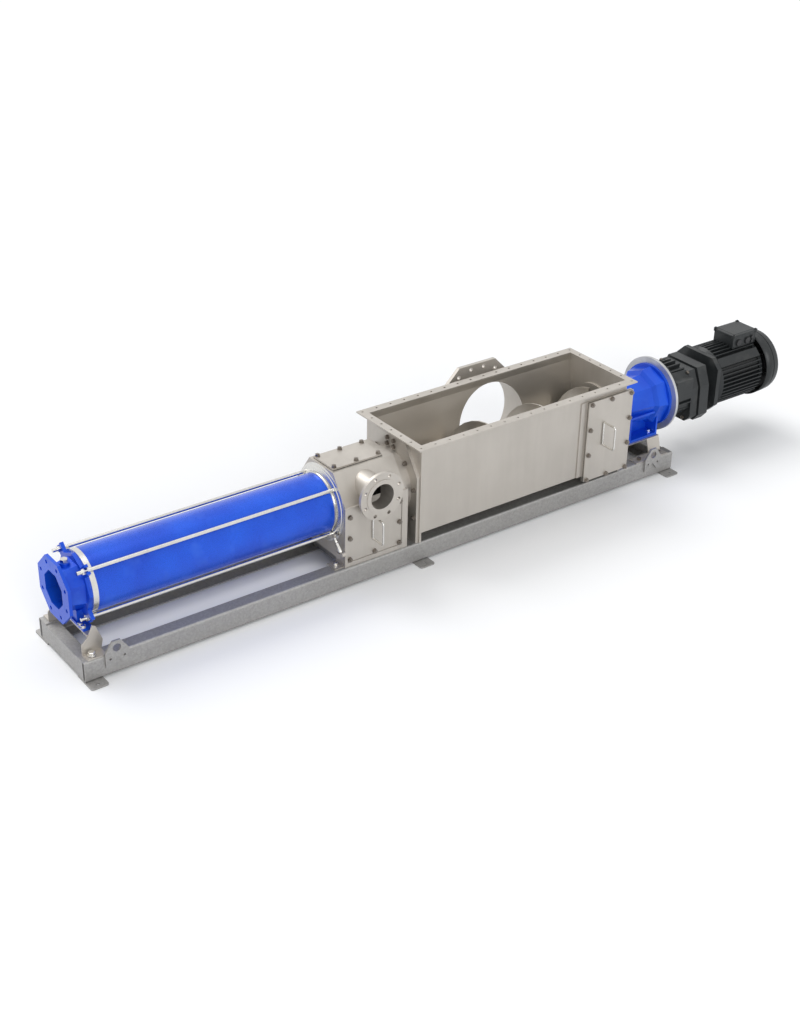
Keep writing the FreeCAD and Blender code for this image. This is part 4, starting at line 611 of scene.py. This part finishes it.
# %% Bolts and screws
FEET = [(-1980, side * y, 250) for side in (-1, 1) for y in (100, 132)]
LANTERN = [(x, side * 106, 237) for side in (-1, 1) for x in (1800, 1972)]
BRACKETS = [(-485, side * 193, 134) for side in (-1, 1)]
LID_AT, LID_CORNERS = 2802, [(x, y) for x in (-100, 100) for y in (-80, 80)]
LID = [(LID_AT + x, y, 706) for x, y in LID_CORNERS]
for word, places in (("foot", FEET), ("lantern", LANTERN), ("bracket", BRACKETS)):
    for number, place in enumerate(places):
        name = f"{word}_bolt_{number}"
        copy_of(bolt, name, place, UP, "base", "bright_steel")
for number, place in enumerate(LID):
    copy_of(screw, f"lid_screw_{number}", place, UP, "base", "black_plastic")
print(f"{len(FEET + LANTERN + BRACKETS)} bolts and {len(LID)} screws")

# %% [markdown]
# Some bolts are larger or smaller than the master, so a copy of the mesh may be scaled as it is
# placed. Large ones hold the saddle on the rails. Dark ones sit behind the gearbox's flange and on
# the corners of its plate, where the ribs leave room.

# %% Bolts of the saddle and the gearbox
LARGE, SMALL = 1.5, 0.8
FLANGE_CIRCLE = 205
SADDLE = [(-1987, side * 221, 136) for side in (-1, 1)]
turns = [math.radians(angle) for angle in range(15, 360, 30)]
FLANGE = [(2098, FLANGE_CIRCLE * math.cos(turn), AXIS + FLANGE_CIRCLE * math.sin(turn))
          for turn in turns]
PLATE_CORNERS = (118, 138), (116, -178), (40, -180)
PLATE = [(2262, side * y, AXIS + z) for side in (-1, 1) for y, z in PLATE_CORNERS]
for number, place in enumerate(SADDLE):
    name = f"saddle_bolt_{number}"
    copy_of(bolt, name, place, UP, "base", "bright_steel", LARGE)
for word, places, toward in (("flange", FLANGE, (1, 0, 0)), ("plate", PLATE, (-1, 0, 0))):
    for number, place in enumerate(places):
        name = f"gearbox_{word}_bolt_{number}"
        # The dark finish of these bolts is painted shade.
        copy_of(bolt, name, place, toward, "base", "dark_fastener", SMALL)
print(f"{len(SADDLE + FLANGE + PLATE)} more bolts")

# %% [markdown]
# The handles are closed loops, so a bar lies on the cover between the ends of each grip. The stay
# beside the stator is a turnbuckle: a thin bar with a hexagon nut and a longer hexagon sleeve. All
# four are straight with soft ends, so one helper makes them with other sides, radii and lengths.

# %% Handle bars and turnbuckle
HANDLE_RADIUS = 6


def bar(name, sides, radius, length, start, toward):
    """A bright bar with bevelled ends, from a start towards a direction, in millimetres."""
    disc(sides, radius * MM, length * MM, 0)
    item = master(name + " master")
    edit(item)
    for low, high in ((length - 0.1, length + 1), (-1, 0.1)):
        pick(item, lambda place: low * MM < place.z < high * MM)
        bpy.ops.mesh.bevel(offset=radius * 0.2 * MM, segments=2, affect="EDGES")
    leave_edit()
    copy_of(item, name, start, toward, "base", "bright_steel")


for name, node, x, face in (
        ("side_handle_bar", "side_cover_handle", -273, SIDE_FACE),
        ("inspection_handle_bar", "inspection_handle", 1391, INSPECTION_FACE)):
    low, high = (corner.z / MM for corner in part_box(node))
    start = (x, face - HANDLE_RADIUS, low)
    bar(name, 16, HANDLE_RADIUS, high - low, start, UP)

STAY_TOP, STAY_LOW = Vector((-474, -158, 295)), Vector((-474, -241, 215))
along = STAY_LOW - STAY_TOP
for name, radius, start, end in (("stay_nut", 10, 0.1, 0.34), ("stay_sleeve", 13, 0.38, 0.86)):
    bar(name, 6, radius, along.length * (end - start), STAY_TOP + along * start, along)
print("two bars, a nut and a sleeve")

# %% [markdown]
# The saddle under the lantern is a bent plate: a flat top, two leaning sides and two lips on the
# rails. A strip is drawn out along the bends. Its sides are cut away in front, so the inside is
# dark from the near side, and then the strip is given its wall. It stands for the closed CAD one.

# %% Saddle of the drive
SADDLE_LOW, SADDLE_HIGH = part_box("drive_saddle")
SADDLE_WALL, SADDLE_LEAN, SADDLE_TOP_SIDE = 6 * MM, 25 * MM, 165 * MM
SADDLE_LEG_FRONT = 1905 * MM


def give_wall(item, thickness):
    """Thicken a thin skin inwards."""
    wall = item.modifiers.new("wall", "SOLIDIFY")
    wall.thickness = thickness
    bpy.ops.object.modifier_apply(modifier="wall")


def show_instead(item, name, node, place, toward, finish):
    """A copy on the base that is seen in place of a plainer CAD solid."""
    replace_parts(copy_of(item, name, place, toward, "base", finish), node)


def strip(name, front, rear, points):
    """A strip along the pump, drawn out from point to point of a bent profile in Y and Z."""
    bpy.ops.mesh.primitive_plane_add(size=1)
    item = master(name)
    edit(item)
    pick(item, lambda place: place.y > 0)
    bpy.ops.mesh.delete(type="VERT")
    bpy.ops.mesh.select_all(action="SELECT")
    bpy.ops.transform.resize(value=(rear - front, 1, 1), center_override=(0, 0, 0))
    bpy.ops.transform.translate(value=((front + rear) / 2, points[0][0] + 0.5, points[0][1]))
    for (y, z), (next_y, next_z) in zip(points, points[1:]):
        bpy.ops.mesh.extrude_region()
        bpy.ops.transform.translate(value=(0, next_y - y, next_z - z))
    return item


toe, top, lip = SADDLE_HIGH.y, SADDLE_HIGH.z, SADDLE_LOW.z + SADDLE_WALL
knee = SADDLE_TOP_SIDE + SADDLE_LEAN
saddle = strip("saddle master", SADDLE_LOW.x, SADDLE_HIGH.x, [
    (-toe, lip), (-knee, lip), (-SADDLE_TOP_SIDE, top),
    (SADDLE_TOP_SIDE, top), (knee, lip), (toe, lip)])
bpy.ops.mesh.select_all(action="SELECT")
bpy.ops.mesh.bisect(plane_co=(SADDLE_LEG_FRONT, 0, 0), plane_no=(1, 0, 0))
pick(saddle, lambda place: place.x < SADDLE_LEG_FRONT and lip + MM < place.z < top - MM, "FACE")
bpy.ops.mesh.delete(type="FACE")
leave_edit()
give_wall(saddle, SADDLE_WALL)
edit(saddle)
leave_edit(20)
show_instead(saddle, "bent_saddle", "drive_saddle", (0, 0, 0), UP, "stainless_steel")
heights = [vertex.co.z / MM for vertex in saddle.data.vertices]
print(f"bent saddle from {min(heights):.0f} to {max(heights):.0f} mm high")

# %% [markdown]
# The ring between the stator and the chamber is a turned part: a rim, a groove, and a flared flank
# with two steps, which takes the ends of the rods. It is made as on a lathe, from pairs of a
# height and a radius, and it stands for the plainer CAD ring.

# %% Turned ring


def lathe(name, sides, stations):
    """A turned skin: one ring of points, drawn out from each height and radius to the next."""
    height, radius = stations[0]
    start = (0, 0, height * MM)
    bpy.ops.mesh.primitive_circle_add(vertices=sides, radius=radius * MM, location=start)
    item = master(name)
    edit(item)
    bpy.ops.mesh.select_all(action="SELECT")
    for next_height, next_radius in stations[1:]:
        bpy.ops.mesh.extrude_region()
        bpy.ops.transform.translate(value=(0, 0, (next_height - height) * MM))
        ratio = next_radius / radius
        bpy.ops.transform.resize(value=(ratio, ratio, 1), center_override=(0, 0, next_height * MM))
        height, radius = next_height, next_radius
    return item


def close_seam():
    """Join points that lie on each other, where a skin comes back to its start."""
    bpy.ops.mesh.select_all(action="SELECT")
    bpy.ops.mesh.remove_doubles(threshold=0.01 * MM)


ring = lathe("ring master", 96, [
    (0, 120), (0, 176), (2, 180), (9, 180), (11, 176), (13, 178), (14, 186), (19, 202), (20, 207),
    (24, 211), (25, 219), (28, 226), (29, 226), (29, 120), (0, 120)])
close_seam()
leave_edit(25)
show_instead(ring, "turned_ring", "adaptor_ring", (-479, 0, AXIS), (1, 0, 0), "bright_steel")
print(f"turned ring with {len(ring.data.polygons)} faces")

# %% [markdown]
# The cowl of the fan is a thin turned cover with a groove and a soft rear edge. Its rear face has
# air slots, made by leaving out every second face of one ring. A flat plate closes the fan behind
# its blades and turns with the motor's shaft.

# %% Cowl and fan plate
COWL_SIDES, SLOT_INNER, SLOT_OUTER, COWL_DEPTH = 80, 60, 128, 133
cowl = lathe("cowl master", COWL_SIDES, [
    (0, 214), (70, 211), (71, 207), (77, 207), (78, 210), (108, 208), (120, 204), (128, 195),
    (COWL_DEPTH, 178), (COWL_DEPTH, SLOT_OUTER), (COWL_DEPTH, SLOT_INNER), (COWL_DEPTH, 8)])
bpy.ops.mesh.edge_face_add()


def on_slot(place):
    radius = math.hypot(place.x, place.y) / MM
    step = int(math.degrees(math.atan2(place.y, place.x)) % 360 * COWL_SIDES / 360)
    return SLOT_INNER < radius < SLOT_OUTER and place.z > (COWL_DEPTH - 1) * MM and step % 2 == 0


pick(cowl, on_slot, "FACE")
bpy.ops.mesh.delete(type="FACE")
leave_edit()
give_wall(cowl, 3 * MM)
show_instead(cowl, "fan_cover", "fan_cowl", (2912, 0, AXIS), (1, 0, 0), "dark_grey_paint")

plate = lathe("fan plate master", 64, [
    (0, 44), (0, 178), (1, 180), (3, 180), (4, 178), (4, 44), (0, 44)])
close_seam()
leave_edit()
copy_of(plate, "fan_plate", (2979, 0, AXIS), (1, 0, 0), "motor", "black_plastic")
print(f"cowl with {COWL_SIDES // 2} slots, and the fan's plate")

# %% [markdown]
# The lid of the terminal box has rounded corners, a raised middle and a boss at each corner for
# its screw. A cube is bevelled all over, its top is inset, drawn up and narrowed, and four
# cylinders are added to its mesh. It overhangs the box a little, so a shadow line runs under it.

# %% Lid of the terminal box
LID_SIZE = (220 * MM, 180 * MM, 14 * MM)
bpy.ops.mesh.primitive_cube_add(size=1)
bpy.context.object.scale = LID_SIZE
lid = master("lid master")
edit(lid)
bpy.ops.mesh.select_all(action="SELECT")
bpy.ops.mesh.bevel(offset=5 * MM, segments=3, affect="EDGES")
pick(lid, lambda place: place.z > LID_SIZE[2] / 2 - HAIR, "FACE")
bpy.ops.mesh.inset(thickness=14 * MM)
bpy.ops.mesh.extrude_region()
bpy.ops.transform.translate(value=(0, 0, 2 * MM))
bpy.ops.transform.resize(value=(0.98, 0.97, 1), center_override=(0, 0, 0))
for x, y in LID_CORNERS:
    bpy.ops.mesh.select_all(action="DESELECT")
    disc(24, 13 * MM, 20 * MM, -11 * MM, (x * MM, y * MM))
leave_edit()
show_instead(lid, "terminal_lid", "terminal_box_lid", (LID_AT, 0, 697), UP, "dark_grey_paint")
print(f"lid with {len(LID_CORNERS)} bosses")

# %% [markdown]
# All copies are made now, so the masters go. They would stand at the origin as pieces that belong
# to nothing.

# %% Remove the masters
for item in masters:
    bpy.data.objects.remove(item, do_unlink=True)
print(f"{len(masters)} masters removed")

# %% [markdown]
# The new pieces stay inside the outline of the solids.
